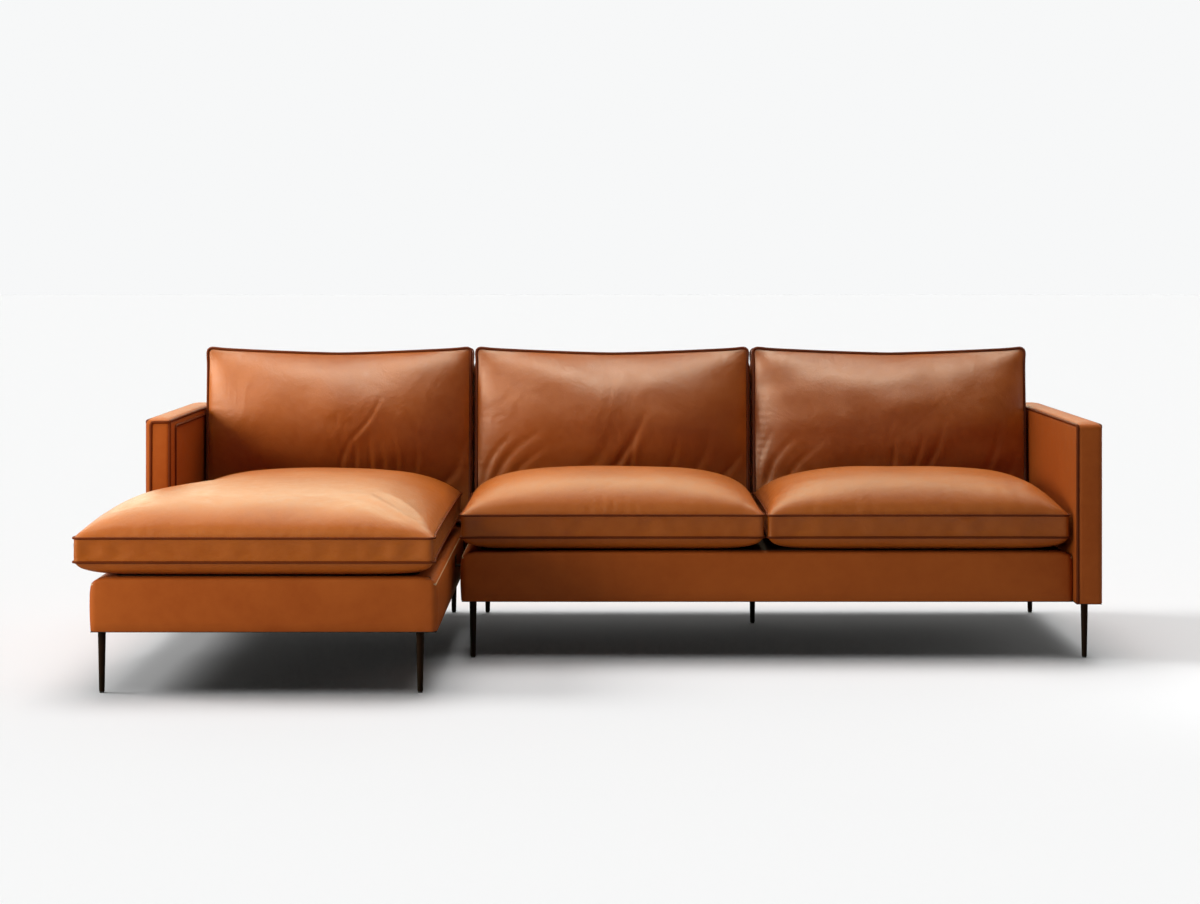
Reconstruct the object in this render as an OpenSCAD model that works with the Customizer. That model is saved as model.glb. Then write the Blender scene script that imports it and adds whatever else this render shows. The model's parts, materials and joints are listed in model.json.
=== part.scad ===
// Corner sofa: a two-seat unit and a chaise unit that hook together.
// Millimetres. X runs to the right, Y to the rear, Z up from the floor.

/* [Heights] */
// Height of the underside of both bases above the floor
leg_h = 155; // [120:5:220]
// Height of both bases
base_h = 135; // [115:5:200]
// Height of the arms at the seam around their top, above the floor
arm_h = 640; // [560:5:760]
// Height of the back frames above the floor
back_h = 630; // [560:5:700]

/* [Chaise unit] */
// Width of the chaise base
chaise_w = 869; // [780:1:1100]
// Depth of the chaise base, from its front to the rear of the sofa
chaise_d = 1315; // [1200:5:1700]
// Length of the short arm on the chaise, from the rear of the sofa
chaise_arm_d = 710; // [600:5:850]
// How far the chaise arm stands in from the side of the base ahead of it
chaise_arm_in = 13; // [0:1:40]
// How far the chaise cushion hangs over the outer side of the base
chaise_overhang = 36; // [5:1:50]

/* [Seat unit] */
// Width of the two-seat base
seat_w = 1667; // [1300:1:2200]
// Depth of the two-seat base, from its front to the rear of the sofa
seat_d = 830; // [750:5:1000]
// How far the front of the long arm stands ahead of the base
arm_proud = 44; // [0:1:80]
// Gap between the two units
unit_gap = 28; // [12:1:40]

/* [Arms and backs] */
// Thickness of the arms
arm_t = 70; // [60:1:160]
// Rise of the arm's padded top above its seam
arm_crown = 15; // [5:1:25]
// Thickness of the back frames with their covers
back_t = 90; // [86:1:160]
// Foam on the arms
arm_foam = 12; // [5:1:12]
// Foam on the backs
back_foam = 20; // [10:1:20]

/* [Covers] */
// Thickness of the leather
leather_t = 2; // [1.5:0.1:3]
// Radius of the piping
welt_r = 3; // [2:0.5:5]
// Corner radius of the covered frames
cover_r = 14; // [8:1:20]

/* [Frames] */
// Thickness of the timber rails
rail_t = 45; // [42:1:60]
// Width of a webbing strap
strap_w = 60; // [40:5:70]
// Thickness of a webbing strap
strap_t = 2; // [1:0.5:3]
// Number of straps from front to rear on the two-seat base
seat_straps = 14; // [8:1:18]
// Number of straps from front to rear on the chaise base
chaise_straps = 6; // [4:1:8]
// Spacing of the straps that run across
cross_pitch = 120; // [100:5:200]
// Thickness of the padding on the decks
pad_t = 10; // [5:1:20]
// Thickness of the dust cloth under the bases
cloth_t = 1; // [0.5:0.1:2]

/* [Legs] */
// Radius of a leg at its top
leg_top_r = 10; // [8:0.5:16]
// Radius of a leg at its foot
leg_foot_r = 7; // [5:0.5:12]
// Height of a glide
glide_h = 4; // [2:1:8]
// Side of a leg's square mounting plate
plate_w = 40; // [36:1:42]
// Thickness of a mounting plate
plate_t = 3; // [2:0.5:5]
// Radius of the threaded stud on a leg
stud_r = 4; // [3:0.5:5]
// Length of the stud above the mounting plate
stud_l = 25; // [10:1:40]
// Distance of a front leg behind the front of its base
leg_front_in = 27; // [26:1:60]
// Distance of a rear leg ahead of the rear of the sofa
leg_rear_in = 45; // [44:1:60]
// Distance of a leg in from the inner side of the two-seat base
seat_leg_in = 32; // [26:1:80]
// Distance of the chaise's outer front leg in from the side of its base
chaise_leg_out_in = 26; // [24:1:80]
// Distance of the chaise's inner legs in from the side of its base
chaise_leg_in = 44; // [26:1:80]
// Distance of the middle support leg ahead of the rear of the sofa
centre_leg_in = 244; // [200:1:500]

/* [Seat cushions] */
// Height of the lower seam above the underside of a seat cushion
seat_under = 41; // [20:1:60]
// Height of the border between the two seams
seat_box = 60; // [40:1:100]
// Rise of the top panel above its seam
seat_crown = 102; // [30:1:120]
// Distance over which the top panel rises
seat_run = 230; // [100:5:250]
// Distance over which the underside flattens
seat_foot = 50; // [20:1:80]
// Corner radius of the seat cushions
seat_r = 26; // [12:1:60]
// Depth of the seat cushions behind the front of the base
seat_cushion_d = 565; // [450:5:650]
// How far the seat cushions stand ahead of the base
cushion_proud = 8; // [0:1:20]
// Gap between two seat cushions and beside the arms
cushion_gap = 3; // [2:0.5:10]

/* [Back cushions] */
// Height of a back cushion along its own lean
back_cushion_h = 514; // [420:1:600]
// Width of the border of a back cushion
back_box = 100; // [60:1:140]
// Bulge of the front panel
back_crown = 40; // [15:1:60]
// Distance over which the front panel bulges
back_run = 170; // [80:5:200]
// Bulge of the rear panel
back_rear_crown = 14; // [5:1:30]
// Corner radius of the back cushions
back_r = 16; // [10:1:40]
// Lean of the back cushions from upright, in degrees
back_lean = 4; // [0:1:8]
// Gap between two back cushions
back_gap = 10; // [4:1:20]
// Gap between a back cushion and the frame behind it
back_clear = 2; // [1:0.5:5]

/* [Fasteners] */
// Radius of the bolts that hold the arms
bolt_r = 4; // [3:0.5:6]
// Radius of a bolt's head
bolt_head_r = 8; // [7:0.5:12]
// Height of a bolt's head
bolt_head_h = 5; // [3:0.5:8]
// Depth of a bolt in the arm's frame
bolt_bite = 30; // [15:1:35]
// Radius of the screws that hold the leg plates
screw_r = 2; // [1.5:0.1:2.5]
// Radius of a screw's head
screw_head_r = 4; // [3:0.1:5]
// Height of a screw's head
screw_head_h = 2; // [1:0.1:3]
// Length of a screw in the timber
screw_bite = 25; // [15:1:35]
// Clearance of a shank in its hole
hole_clear = 0.2; // [0.1:0.05:0.5]

/* [Connectors] */
// Width of a connector plate along the joint between the units
hook_w = 60; // [40:1:100]
// Height of a connector plate
hook_h = 70; // [50:1:80]
// Thickness of the connector plates
hook_t = 2.5; // [2:0.1:3]
// Thickness of the tongue that drops into the socket
tongue_t = 3; // [2:0.1:4]
// Depth of the tongue in the socket
tongue_l = 40; // [20:1:45]
// Width of the tongue
tongue_w = 36; // [20:1:38]
// Clearance around the tongue in its socket
tongue_clear = 0.4; // [0.3:0.1:1]

/* [Hidden] */

// Facets of the turned parts
round_fn = 48;
// Segments of a cushion's corner, and rings of its panels
corner_steps = 4;
under_steps = 4;
crown_steps = 6;
// A small overlap for cuts that must go right through
cut = 1;
// Clearance between a cushion's core and the inside of its cover
core_clear = 1;
// Clearance under a loose cushion
rest_gap = 0.5;
// How far a cord lying on a corner stands off each face, as a share of its distance:
// a little over cos(45), on a square edge and on a rounded one
corner_lift = 0.72;
round_lift = 0.708;

// Across the sofa, left to right
welt_out = 2 * welt_r;
arm_welt_out = welt_r * (1 + corner_lift);
total_w = welt_out + chaise_overhang + chaise_w + unit_gap + seat_w + arm_t + arm_welt_out;
chaise_x0 = -total_w / 2 + welt_out + chaise_overhang;
chaise_x1 = chaise_x0 + chaise_w;
left_arm_x0 = chaise_x0 + chaise_arm_in;
left_arm_x1 = left_arm_x0 + arm_t;
seat_x0 = chaise_x1 + unit_gap;
seat_x1 = seat_x0 + seat_w;
right_arm_x1 = seat_x1 + arm_t;

// From front to rear
total_d = chaise_d + cushion_proud + welt_out;
rear_y = total_d / 2;
chaise_y0 = rear_y - chaise_d;
seat_y0 = rear_y - seat_d;
right_arm_y0 = seat_y0 - arm_proud;
left_arm_y0 = rear_y - chaise_arm_d;
back_y = rear_y - back_t;

// Upwards
base_top = leg_h + base_h;
plate_z = leg_h + cloth_t + screw_head_h + cut;
frame_z = plate_z + plate_t;
rail_top = base_top - pad_t - 2 * strap_t;
rail_h = rail_top - frame_z;
cushion_z = base_top + rest_gap;
bolt_z = frame_z + rail_h / 2;

// Cushion outlines
side_clear = cushion_gap + welt_out;
arm_clear = side_clear + arm_welt_out;
chaise_cushion_x0 = chaise_x0 - chaise_overhang;
chaise_cushion_x1 = chaise_x1 - side_clear;
middle_seat_x = seat_x0 + cushion_gap / 3 + welt_out;
seat_cushion_w = (seat_x1 - arm_clear - middle_seat_x - side_clear - welt_out) / 2;
right_seat_x = seat_x1 - arm_clear - seat_cushion_w;
cushion_rear_y = seat_y0 - cushion_proud + seat_cushion_d;
back_cushion_z = base_top + welt_out + cut;
left_back_x = left_arm_x1 + arm_clear;
middle_back_x = seat_x0 + side_clear;
left_back_w = middle_back_x - back_gap - 2 * welt_out - left_back_x;
back_cushion_w = (seat_x1 - arm_clear - middle_back_x - back_gap - 2 * welt_out) / 2;
right_back_x = seat_x1 - arm_clear - back_cushion_w;
back_cushion_y = back_y - back_clear - sin(back_lean) * (back_h - base_top);

// Leg positions, as [x, y]
seat_leg_places = [
    [seat_x0 + seat_leg_in, seat_y0 + leg_front_in],
    [seat_x1 + arm_t / 2, seat_y0 + leg_front_in],
    [seat_x0 + seat_leg_in, rear_y - leg_rear_in],
    [seat_x1 + arm_t / 2, rear_y - leg_rear_in],
    [seat_x0 + seat_w / 2, rear_y - centre_leg_in],
];
chaise_leg_places = [
    [chaise_x0 + chaise_leg_out_in, chaise_y0 + leg_front_in],
    [chaise_x1 - chaise_leg_in, chaise_y0 + leg_front_in],
    [left_arm_x0 + arm_t / 2, rear_y - leg_rear_in],
    [chaise_x1 - chaise_leg_in, rear_y - leg_rear_in],
];

// Colours
leather = "#a9592a";
piping = "#7b3517";
timber = "#d8b682";
foam = "#efe6cf";
cloth = "#26231f";
steel = "#2b2320";
zinc = "#b9bcc0";

// ---- Helpers ----

// A box between two corners
module block(low, high) {
    translate(low) cube(high - low);
}

// A rectangle with round corners between two corners
module round_plan(low, high, r) {
    size = high - low;
    translate(low + [r, 0]) square([size[0] - 2 * r, size[1]]);
    translate(low + [0, r]) square([size[0], size[1] - 2 * r]);
    for (x = [low[0] + r, high[0] - r], y = [low[1] + r, high[1] - r])
        translate([x, y]) circle(r, $fn = round_fn);
}

// The plan of the two-seat base, drawn in by inset
module seat_plan(inset) {
    round_plan([seat_x0 + inset, seat_y0 + inset], [seat_x1 - inset, back_y - inset],
        cover_r - inset);
}

// The plan of the chaise base, drawn in by inset: wide ahead of the arm, narrow beside it
module chaise_plan(inset) {
    round_plan([chaise_x0 + inset, chaise_y0 + inset],
        [chaise_x1 - inset, left_arm_y0 - inset], cover_r - inset);
    round_plan([left_arm_x1 + inset, chaise_y0 + inset],
        [chaise_x1 - inset, back_y - inset], cover_r - inset);
}

module rise(z0, z1) {
    translate([0, 0, z0]) linear_extrude(z1 - z0) children();
}

// ---- Legs, glides, plates and screws ----

module leg() {
    color(steel) {
        translate([0, 0, glide_h])
            cylinder(h = plate_z - glide_h, r1 = leg_foot_r, r2 = leg_top_r, $fn = round_fn);
        translate([0, 0, plate_z])
            cylinder(h = plate_t + stud_l, r = stud_r, $fn = round_fn);
    }
}

module glide() {
    color(cloth) cylinder(h = glide_h, r = leg_foot_r - cut, $fn = round_fn);
}

// Where the four screws of a plate stand
screw_in = plate_w / 2 - screw_head_r - cut * 2;
module at_screws() {
    for (x = [-1, 1], y = [-1, 1]) translate([x * screw_in, y * screw_in]) children();
}

module leg_plate() {
    color(zinc) translate([0, 0, plate_z]) difference() {
        translate([-plate_w / 2, -plate_w / 2]) cube([plate_w, plate_w, plate_t]);
        translate([0, 0, -cut])
            cylinder(h = plate_t + 2 * cut, r = stud_r + hole_clear, $fn = round_fn);
        at_screws() translate([0, 0, -cut])
            cylinder(h = plate_t + 2 * cut, r = screw_r + hole_clear, $fn = round_fn);
    }
}

module leg_screws() {
    color(zinc) at_screws() {
        translate([0, 0, plate_z - screw_head_h])
            cylinder(h = screw_head_h, r = screw_head_r, $fn = round_fn);
        translate([0, 0, plate_z])
            cylinder(h = plate_t + screw_bite, r = screw_r, $fn = round_fn);
    }
}

// The holes that the studs and screws need in the timber
module leg_holes(places) {
    for (p = places) translate([p[0], p[1], frame_z]) {
        translate([0, 0, -cut])
            cylinder(h = stud_l + 2 * cut, r = stud_r + hole_clear, $fn = round_fn);
        at_screws() translate([0, 0, -cut])
            cylinder(h = screw_bite + 2 * cut, r = screw_r + hole_clear, $fn = round_fn);
    }
}

module at_places(places) {
    for (p = places) translate([p[0], p[1], 0]) children();
}

// A dust cloth over one rectangle, with holes for the legs that pass it
module dust_cloth(low, high, places) {
    color(cloth) difference() {
        block([low[0], low[1], leg_h], [high[0], high[1], leg_h + cloth_t]);
        at_places(places) translate([0, 0, leg_h - cut])
            cylinder(h = cloth_t + 2 * cut, r = leg_top_r + cut, $fn = round_fn);
    }
}

// ---- Arms ----

// An arm's outer shape drawn in by inset: a slab with a crowned top
module arm_form(x0, x1, y0, inset, z0) {
    w = x1 - x0 - 2 * inset;
    crown = arm_crown - inset / 2;
    top_r = (w * w / 4 + crown * crown) / (2 * crown);
    top_z = arm_h - inset / 2;
    corner = max(cover_r / 2 - inset, cut);
    rise(z0, top_z)
        round_plan([x0 + inset, y0 + inset], [x1 - inset, rear_y - inset], corner);
    translate([(x0 + x1) / 2, rear_y - inset - corner, top_z]) rotate([90, 0, 0])
        linear_extrude(rear_y - y0 - 2 * inset - 2 * corner)
            intersection() {
                translate([0, crown - top_r]) circle(top_r, $fn = 4 * round_fn);
                translate([-w / 2 + corner / 2, -cut]) square([w - corner, crown + 2 * cut]);
            }
}

// The cover: leather over the sides and top, open below
module arm_cover(x0, x1, y0) {
    color(leather) difference() {
        arm_form(x0, x1, y0, 0, leg_h + cloth_t);
        arm_form(x0, x1, y0, leather_t, leg_h + cloth_t - cut);
        arm_holes(x0, x1, y0);
    }
}

// The inner faces of an arm's foam, which the frame fills
function arm_inset() = leather_t + arm_foam;

module arm_core(x0, x1, y0, top_drop) {
    inset = arm_inset();
    block([x0 + inset, y0 + inset, frame_z],
        [x1 - inset, rear_y - inset, arm_h - top_drop]);
}

module arm_foam_layer(x0, x1, y0) {
    color(foam) difference() {
        arm_form(x0, x1, y0, leather_t, frame_z);
        translate([0, 0, -cut]) arm_core(x0, x1, y0, arm_foam);
        arm_core(x0, x1, y0, arm_foam);
        arm_holes(x0, x1, y0);
    }
}

// Posts and rails, glued up flat
module arm_frame(x0, x1, y0, places) {
    inset = arm_inset();
    low = y0 + inset;
    high = rear_y - inset;
    color(timber) difference() {
        arm_core(x0, x1, y0, arm_foam);
        for (k = [0, 1]) {
            mid = (low + high) / 2;
            block([x0, (k == 0 ? low : mid - rail_t / 2) + rail_t, frame_z + rail_h],
                [x1, k == 0 ? mid - rail_t / 2 : high - rail_t, arm_h - arm_foam - rail_t]);
        }
        arm_holes(x0, x1, y0);
        leg_holes(places);
    }
}

// Where the bolts pass, along Y
function bolt_ys(y0) = [for (f = [0.2, 0.5, 0.8]) y0 + (back_y - y0) * f];

// Bolts with their heads inside the base, pointing at the arm: dir is -1 or 1 along X
module arm_bolts(face_x, y0, dir) {
    inner = face_x - dir * (leather_t + rail_t);
    shank = leather_t + rail_t + arm_inset() + bolt_bite;
    color(zinc) for (y = bolt_ys(y0)) translate([inner, y, bolt_z]) rotate([0, dir * 90, 0]) {
        translate([0, 0, -bolt_head_h])
            cylinder(h = bolt_head_h, r = bolt_head_r, $fn = round_fn);
        cylinder(h = shank, r = bolt_r, $fn = round_fn);
    }
}

module bolt_holes(face_x, y0, dir) {
    reach = leather_t + rail_t + arm_inset() + bolt_bite;
    for (y = bolt_ys(y0))
        translate([face_x - dir * (leather_t + rail_t + cut), y, bolt_z])
            rotate([0, dir * 90, 0])
                cylinder(h = reach + 2 * cut, r = bolt_r + hole_clear, $fn = round_fn);
}

// Each arm is bolted from the side that faces its base
module arm_holes(x0, x1, y0) {
    if (x0 >= seat_x1) bolt_holes(seat_x1, max(y0, seat_y0), 1);
    else bolt_holes(left_arm_x1, y0, -1);
}

// A straight piece of piping between two points
module cord(a, b) {
    d = b - a;
    translate(a) rotate([0, acos(d[2] / norm(d)), atan2(d[1], d[0])])
        cylinder(h = norm(d), r = welt_r, $fn = round_fn);
}

// Piping up from low and over the front panel, and along the two top edges, on the corners
module arm_welt(x0, x1, y0, low) {
    corner = cover_r / 2;
    out = (corner + welt_r) * round_lift - corner;
    lift = welt_r * corner_lift;
    y = y0 - out;
    top = arm_h + welt_r;
    color(piping) {
        for (side = [0, 1]) {
            x = side == 0 ? x0 - out : x1 + out;
            edge_x = side == 0 ? x0 - lift : x1 + lift;
            turn_x = side == 0 ? x + corner : x - corner;
            cord([x, y, low], [x, y, top - corner]);
            translate([turn_x, y, top - corner]) rotate([90, 0, 0]) rotate([0, 0, 90 - side * 90])
                rotate_extrude(angle = 90, $fn = 2 * round_fn)
                    translate([corner, 0]) circle(welt_r, $fn = round_fn);
            cord([edge_x, y0 + 2 * welt_r, arm_h + lift], [edge_x, rear_y - welt_r, arm_h + lift]);
        }
        cord([x0 - out + corner, y, top], [x1 + out - corner, y, top]);
    }
}

// ---- Backs ----

module back_form(x0, x1, inset, z0) {
    r = max(cover_r / 2 - inset, cut);
    translate([x0, 0, 0]) rotate([90, 0, 90]) linear_extrude(x1 - x0)
        translate([back_y + inset, z0]) {
            w = back_t - 2 * inset;
            h = back_h - inset - z0;
            square([w, h - r]);
            translate([r, h - r]) square([w - 2 * r, r]);
            for (y = [r, w - r]) translate([y, h - r]) circle(r, $fn = round_fn);
        }
}

module back_cover(x0, x1) {
    color(leather) difference() {
        back_form(x0, x1, 0, leg_h + cloth_t);
        back_form(x0 + leather_t, x1 - leather_t, leather_t, leg_h + cloth_t - cut);
    }
}

module back_core(x0, x1) {
    inset = leather_t + back_foam;
    block([x0 + leather_t, back_y + inset, frame_z],
        [x1 - leather_t, rear_y - inset, back_h - inset]);
}

module back_foam_layer(x0, x1) {
    color(foam) difference() {
        back_form(x0 + leather_t, x1 - leather_t, leather_t, frame_z);
        translate([0, 0, -cut]) back_core(x0 - cut, x1 + cut);
        back_core(x0 - cut, x1 + cut);
    }
}

// A ladder frame with bays posts apart
module back_frame(x0, x1, bays, places) {
    low = x0 + leather_t;
    high = x1 - leather_t;
    pitch = (high - low - rail_t) / bays;
    top = back_h - leather_t - back_foam;
    color(timber) difference() {
        back_core(x0, x1);
        for (k = [0:bays - 1])
            block([low + rail_t + k * pitch, back_y, frame_z + rail_h],
                [low + (k + 1) * pitch, rear_y, top - rail_t]);
        leg_holes(places);
    }
}

// ---- Base frames ----

module seat_timber() {
    rise(frame_z, rail_top) seat_plan(leather_t);
}

module chaise_timber() {
    rise(frame_z, rail_top) chaise_plan(leather_t);
}

seat_inner_y0 = seat_y0 + leather_t + rail_t;
seat_inner_y1 = back_y - leather_t - rail_t;
chaise_inner_y0 = chaise_y0 + leather_t + rail_t;
// The rail that carries the chaise's front corner ahead of the arm
step_y0 = left_arm_y0 - leather_t - rail_t;

module seat_front_rail() {
    color(timber) difference() {
        intersection() {
            seat_timber();
            block([seat_x0, seat_y0, frame_z], [seat_x1, seat_inner_y0, rail_top]);
        }
        leg_holes(seat_leg_places);
    }
}

module seat_rear_rail() {
    color(timber) intersection() {
        seat_timber();
        block([seat_x0, seat_inner_y1, frame_z], [seat_x1, back_y, rail_top]);
    }
}

// The two end rails, and cross rails between them: the middle one carries a leg
module seat_cross_rails() {
    low = seat_x0 + leather_t;
    high = seat_x1 - leather_t - rail_t;
    color(timber) difference() {
        for (k = [0:4])
            block([low + (high - low) * k / 4, seat_inner_y0, frame_z],
                [low + (high - low) * k / 4 + rail_t, seat_inner_y1, rail_top]);
        leg_holes(seat_leg_places);
        bolt_holes(seat_x1, seat_y0, 1);
    }
}

module chaise_front_rail() {
    color(timber) difference() {
        intersection() {
            chaise_timber();
            block([chaise_x0, chaise_y0, frame_z], [chaise_x1, chaise_inner_y0, rail_top]);
        }
        leg_holes(chaise_leg_places);
    }
}

module chaise_rear_rail() {
    color(timber) intersection() {
        chaise_timber();
        block([left_arm_x1, seat_inner_y1, frame_z], [chaise_x1, back_y, rail_top]);
    }
}

// Side rails: the outer front one, the one beside the arm and the inner one
module chaise_side_rails() {
    color(timber) difference() {
        intersection() {
            chaise_timber();
            union() {
                block([chaise_x0, chaise_inner_y0, frame_z],
                    [chaise_x0 + leather_t + rail_t, step_y0, rail_top]);
                block([left_arm_x1, left_arm_y0 - leather_t, frame_z],
                    [left_arm_x1 + leather_t + rail_t, seat_inner_y1, rail_top]);
                block([chaise_x1 - leather_t - rail_t, chaise_inner_y0, frame_z],
                    [chaise_x1, seat_inner_y1, rail_top]);
            }
        }
        bolt_holes(left_arm_x1, left_arm_y0, -1);
    }
}

// Cross rails: one under the step at the arm, one ahead of it and one between two bolts
module chaise_cross_rails() {
    inner = chaise_x1 - leather_t - rail_t;
    front_mid = (chaise_inner_y0 + step_y0 - rail_t) / 2;
    ys = bolt_ys(left_arm_y0);
    rear_mid = (ys[1] + ys[2] - rail_t) / 2;
    color(timber) {
        intersection() {
            chaise_timber();
            block([chaise_x0, step_y0, frame_z], [inner, step_y0 + rail_t, rail_top]);
        }
        block([chaise_x0 + leather_t + rail_t, front_mid, frame_z],
            [inner, front_mid + rail_t, rail_top]);
        block([left_arm_x1 + leather_t + rail_t, rear_mid, frame_z],
            [inner, rear_mid + rail_t, rail_top]);
    }
}

// Straps from y0 to y1, spread over x0 to x1
module long_straps(x0, x1, y0, y1, count) {
    pitch = (x1 - x0 - strap_w) / (count - 1);
    for (k = [0:count - 1])
        block([x0 + k * pitch, y0, rail_top], [x0 + k * pitch + strap_w, y1, rail_top + strap_t]);
}

// Straps across, on top of the long ones, turned down onto the rails at their ends
module cross_straps(x0, x1, y0, y1) {
    count = floor((y1 - y0 - strap_w) / cross_pitch);
    first = (y0 + y1 - count * cross_pitch - strap_w) / 2;
    for (k = [0:count]) {
        y = first + k * cross_pitch;
        block([x0, y, rail_top + strap_t], [x1, y + strap_w, rail_top + 2 * strap_t]);
        for (x = [x0, x1 - strap_t])
            block([x, y, rail_top], [x + strap_t, y + strap_w, rail_top + 2 * strap_t]);
    }
}

strap_in = cover_r + leather_t;

module seat_webbing() {
    color(cloth) {
        long_straps(seat_x0 + rail_t, seat_x1 - rail_t, seat_y0 + strap_in,
            back_y - strap_in, seat_straps);
        cross_straps(seat_x0 + strap_in, seat_x1 - strap_in, seat_inner_y0, seat_inner_y1);
    }
}

module chaise_webbing() {
    color(cloth) {
        long_straps(left_arm_x1 + rail_t, chaise_x1 - rail_t, chaise_y0 + strap_in,
            back_y - strap_in, chaise_straps);
        cross_straps(chaise_x0 + strap_in, chaise_x1 - strap_in, chaise_inner_y0, step_y0);
        cross_straps(left_arm_x1 + strap_in, chaise_x1 - strap_in, left_arm_y0,
            seat_inner_y1);
    }
}

module seat_deck_pad() {
    color(foam) rise(base_top - pad_t, base_top) seat_plan(leather_t);
}

// Two pads that meet at the step
module chaise_deck_pad() {
    color(foam) rise(base_top - pad_t, base_top) {
        round_plan([chaise_x0 + leather_t, chaise_y0 + leather_t],
            [chaise_x1 - leather_t, left_arm_y0 - leather_t], cover_r - leather_t);
        round_plan([left_arm_x1 + leather_t, left_arm_y0 - leather_t + cut],
            [chaise_x1 - leather_t, back_y - leather_t], cover_r - leather_t);
    }
}

module seat_base_cover() {
    color(leather) difference() {
        rise(leg_h + cloth_t, base_top) seat_plan(0);
        rise(leg_h, base_top + cut) seat_plan(leather_t);
        bolt_holes(seat_x1, seat_y0, 1);
    }
}

module chaise_base_cover() {
    color(leather) difference() {
        rise(leg_h + cloth_t, base_top) chaise_plan(0);
        rise(leg_h, base_top + cut) chaise_plan(leather_t);
        bolt_holes(left_arm_x1, left_arm_y0, -1);
    }
}

module seat_dust_cover() {
    dust_cloth([seat_x0 + leather_t, seat_y0 + leather_t],
        [seat_x1 - cut, rear_y - leather_t], seat_leg_places);
    dust_cloth([seat_x1, right_arm_y0 + leather_t],
        [right_arm_x1 - leather_t, rear_y - leather_t], seat_leg_places);
}

module chaise_dust_cover() {
    dust_cloth([chaise_x0 + leather_t, chaise_y0 + leather_t],
        [chaise_x1 - leather_t, left_arm_y0 - cut], chaise_leg_places);
    dust_cloth([left_arm_x0 + leather_t, left_arm_y0],
        [chaise_x1 - leather_t, rear_y - leather_t], chaise_leg_places);
}

// ---- Connectors ----

hook_z = leg_h + (base_h - hook_h) / 2;
slot_w = tongue_t + 2 * tongue_clear;
hook_ys = [seat_y0 + (back_y - seat_y0) / 4, seat_y0 + (back_y - seat_y0) * 3 / 4];

// A plate on the two-seat base with a strap that leaves a slot behind it
module socket_bracket(y) {
    strap_h = tongue_l;
    strap_x = seat_x0 - hook_t - slot_w - hook_t;
    block([seat_x0 - hook_t, y - hook_w / 2, hook_z], [seat_x0, y + hook_w / 2, hook_z + hook_h]);
    block([strap_x, y - hook_w / 2, hook_z],
        [strap_x + hook_t, y + hook_w / 2, hook_z + strap_h]);
    for (side = [-1, 1]) {
        mid = y + side * (hook_w + tongue_w + 2 * tongue_clear) / 4;
        half = (hook_w - tongue_w - 2 * tongue_clear) / 4;
        block([strap_x, mid - half, hook_z], [seat_x0, mid + half, hook_z + strap_h]);
    }
}

module connector_sockets() {
    color(zinc) for (y = hook_ys) socket_bracket(y);
}

// A plate on the chaise base with a tongue that hangs into the slot
module connector_tongues() {
    tongue_x = seat_x0 - hook_t - tongue_clear - tongue_t;
    tongue_z = hook_z + tongue_clear;
    neck_z = hook_z + tongue_l + tongue_clear;
    color(zinc) for (y = hook_ys) {
        block([chaise_x1, y - hook_w / 2, neck_z],
            [chaise_x1 + hook_t, y + hook_w / 2, hook_z + hook_h]);
        block([chaise_x1, y - tongue_w / 2, neck_z],
            [tongue_x + tongue_t, y + tongue_w / 2, neck_z + hook_t]);
        block([tongue_x, y - tongue_w / 2, tongue_z],
            [tongue_x + tongue_t, y + tongue_w / 2, neck_z + hook_t]);
    }
}

// ---- Cushions ----

// Corners as [x, y, inward x, inward y, first angle, turn]: turn -1 is an inner corner
function box_corners(x0, x1, y0, y1) = [
    [x0, y0, 1, 1, 180, 1], [x1, y0, -1, 1, 270, 1],
    [x1, y1, -1, -1, 0, 1], [x0, y1, 1, -1, 90, 1],
];
// The first corner sees the whole outline, so that the flat ends fan out from it
function notched_corners(x0, x1, y0, y1, notch_x, notch_y) = [
    [x1, y0, -1, 1, 270, 1], [x1, y1, -1, -1, 0, 1], [notch_x, y1, 1, -1, 90, 1],
    [notch_x, notch_y, 1, -1, 0, -1], [x0, notch_y, 1, -1, 90, 1], [x0, y0, 1, 1, 180, 1],
];

// An inner corner has the same small radius at every inset
inner_r = side_clear + cut;
function corner_radius(c, r, inset) = c[5] > 0 ? max(r - inset, r / 3) : inner_r;
function corner_centre(c, r, inset) =
    let (s = inset + c[5] * corner_radius(c, r, inset)) [c[0] + c[2] * s, c[1] + c[3] * s];

// One closed ring of points at height z
function ring(corners, r, inset, z) = [
    for (c = corners, k = [0:corner_steps])
        let (
            a = c[4] + c[5] * 90 * k / corner_steps,
            m = corner_centre(c, r, inset),
            q = corner_radius(c, r, inset)
        )
        [m[0] + q * cos(a), m[1] + q * sin(a), z]
];

// The cushion's section from the underside to the top, as [inset, height] pairs
function section(under, foot, box, crown, run, skin) = concat(
    [for (k = [0:under_steps]) let (a = 90 * k / under_steps)
        [skin + foot * (1 - sin(a)), skin + (under - skin) * (1 - cos(a))]],
    [for (k = [0:crown_steps]) let (a = 90 * k / crown_steps)
        [skin + run * (1 - cos(a)), under + box + (crown - skin) * sin(a)]]
);

// A padded form: rings stacked from the underside to the top
module padded_form(corners, r, rings) {
    count = len(corners) * (corner_steps + 1);
    levels = len(rings);
    points = [for (s = rings) each ring(corners, r, s[0], s[1])];
    sides = [
        for (j = [0:levels - 2], k = [0:count - 1])
            let (
                n = (k + 1) % count,
                a = j * count + k, b = j * count + n,
                c = (j + 1) * count + n, d = (j + 1) * count + k
            )
            each [[a, d, c], [a, c, b]]
    ];
    polyhedron(
        points = points,
        faces = concat(
            [[for (k = [0:count - 1]) k]],
            sides,
            [[for (k = [count:-1:1]) (levels - 1) * count + k % count]]
        ),
        convexity = 4
    );
}

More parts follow.
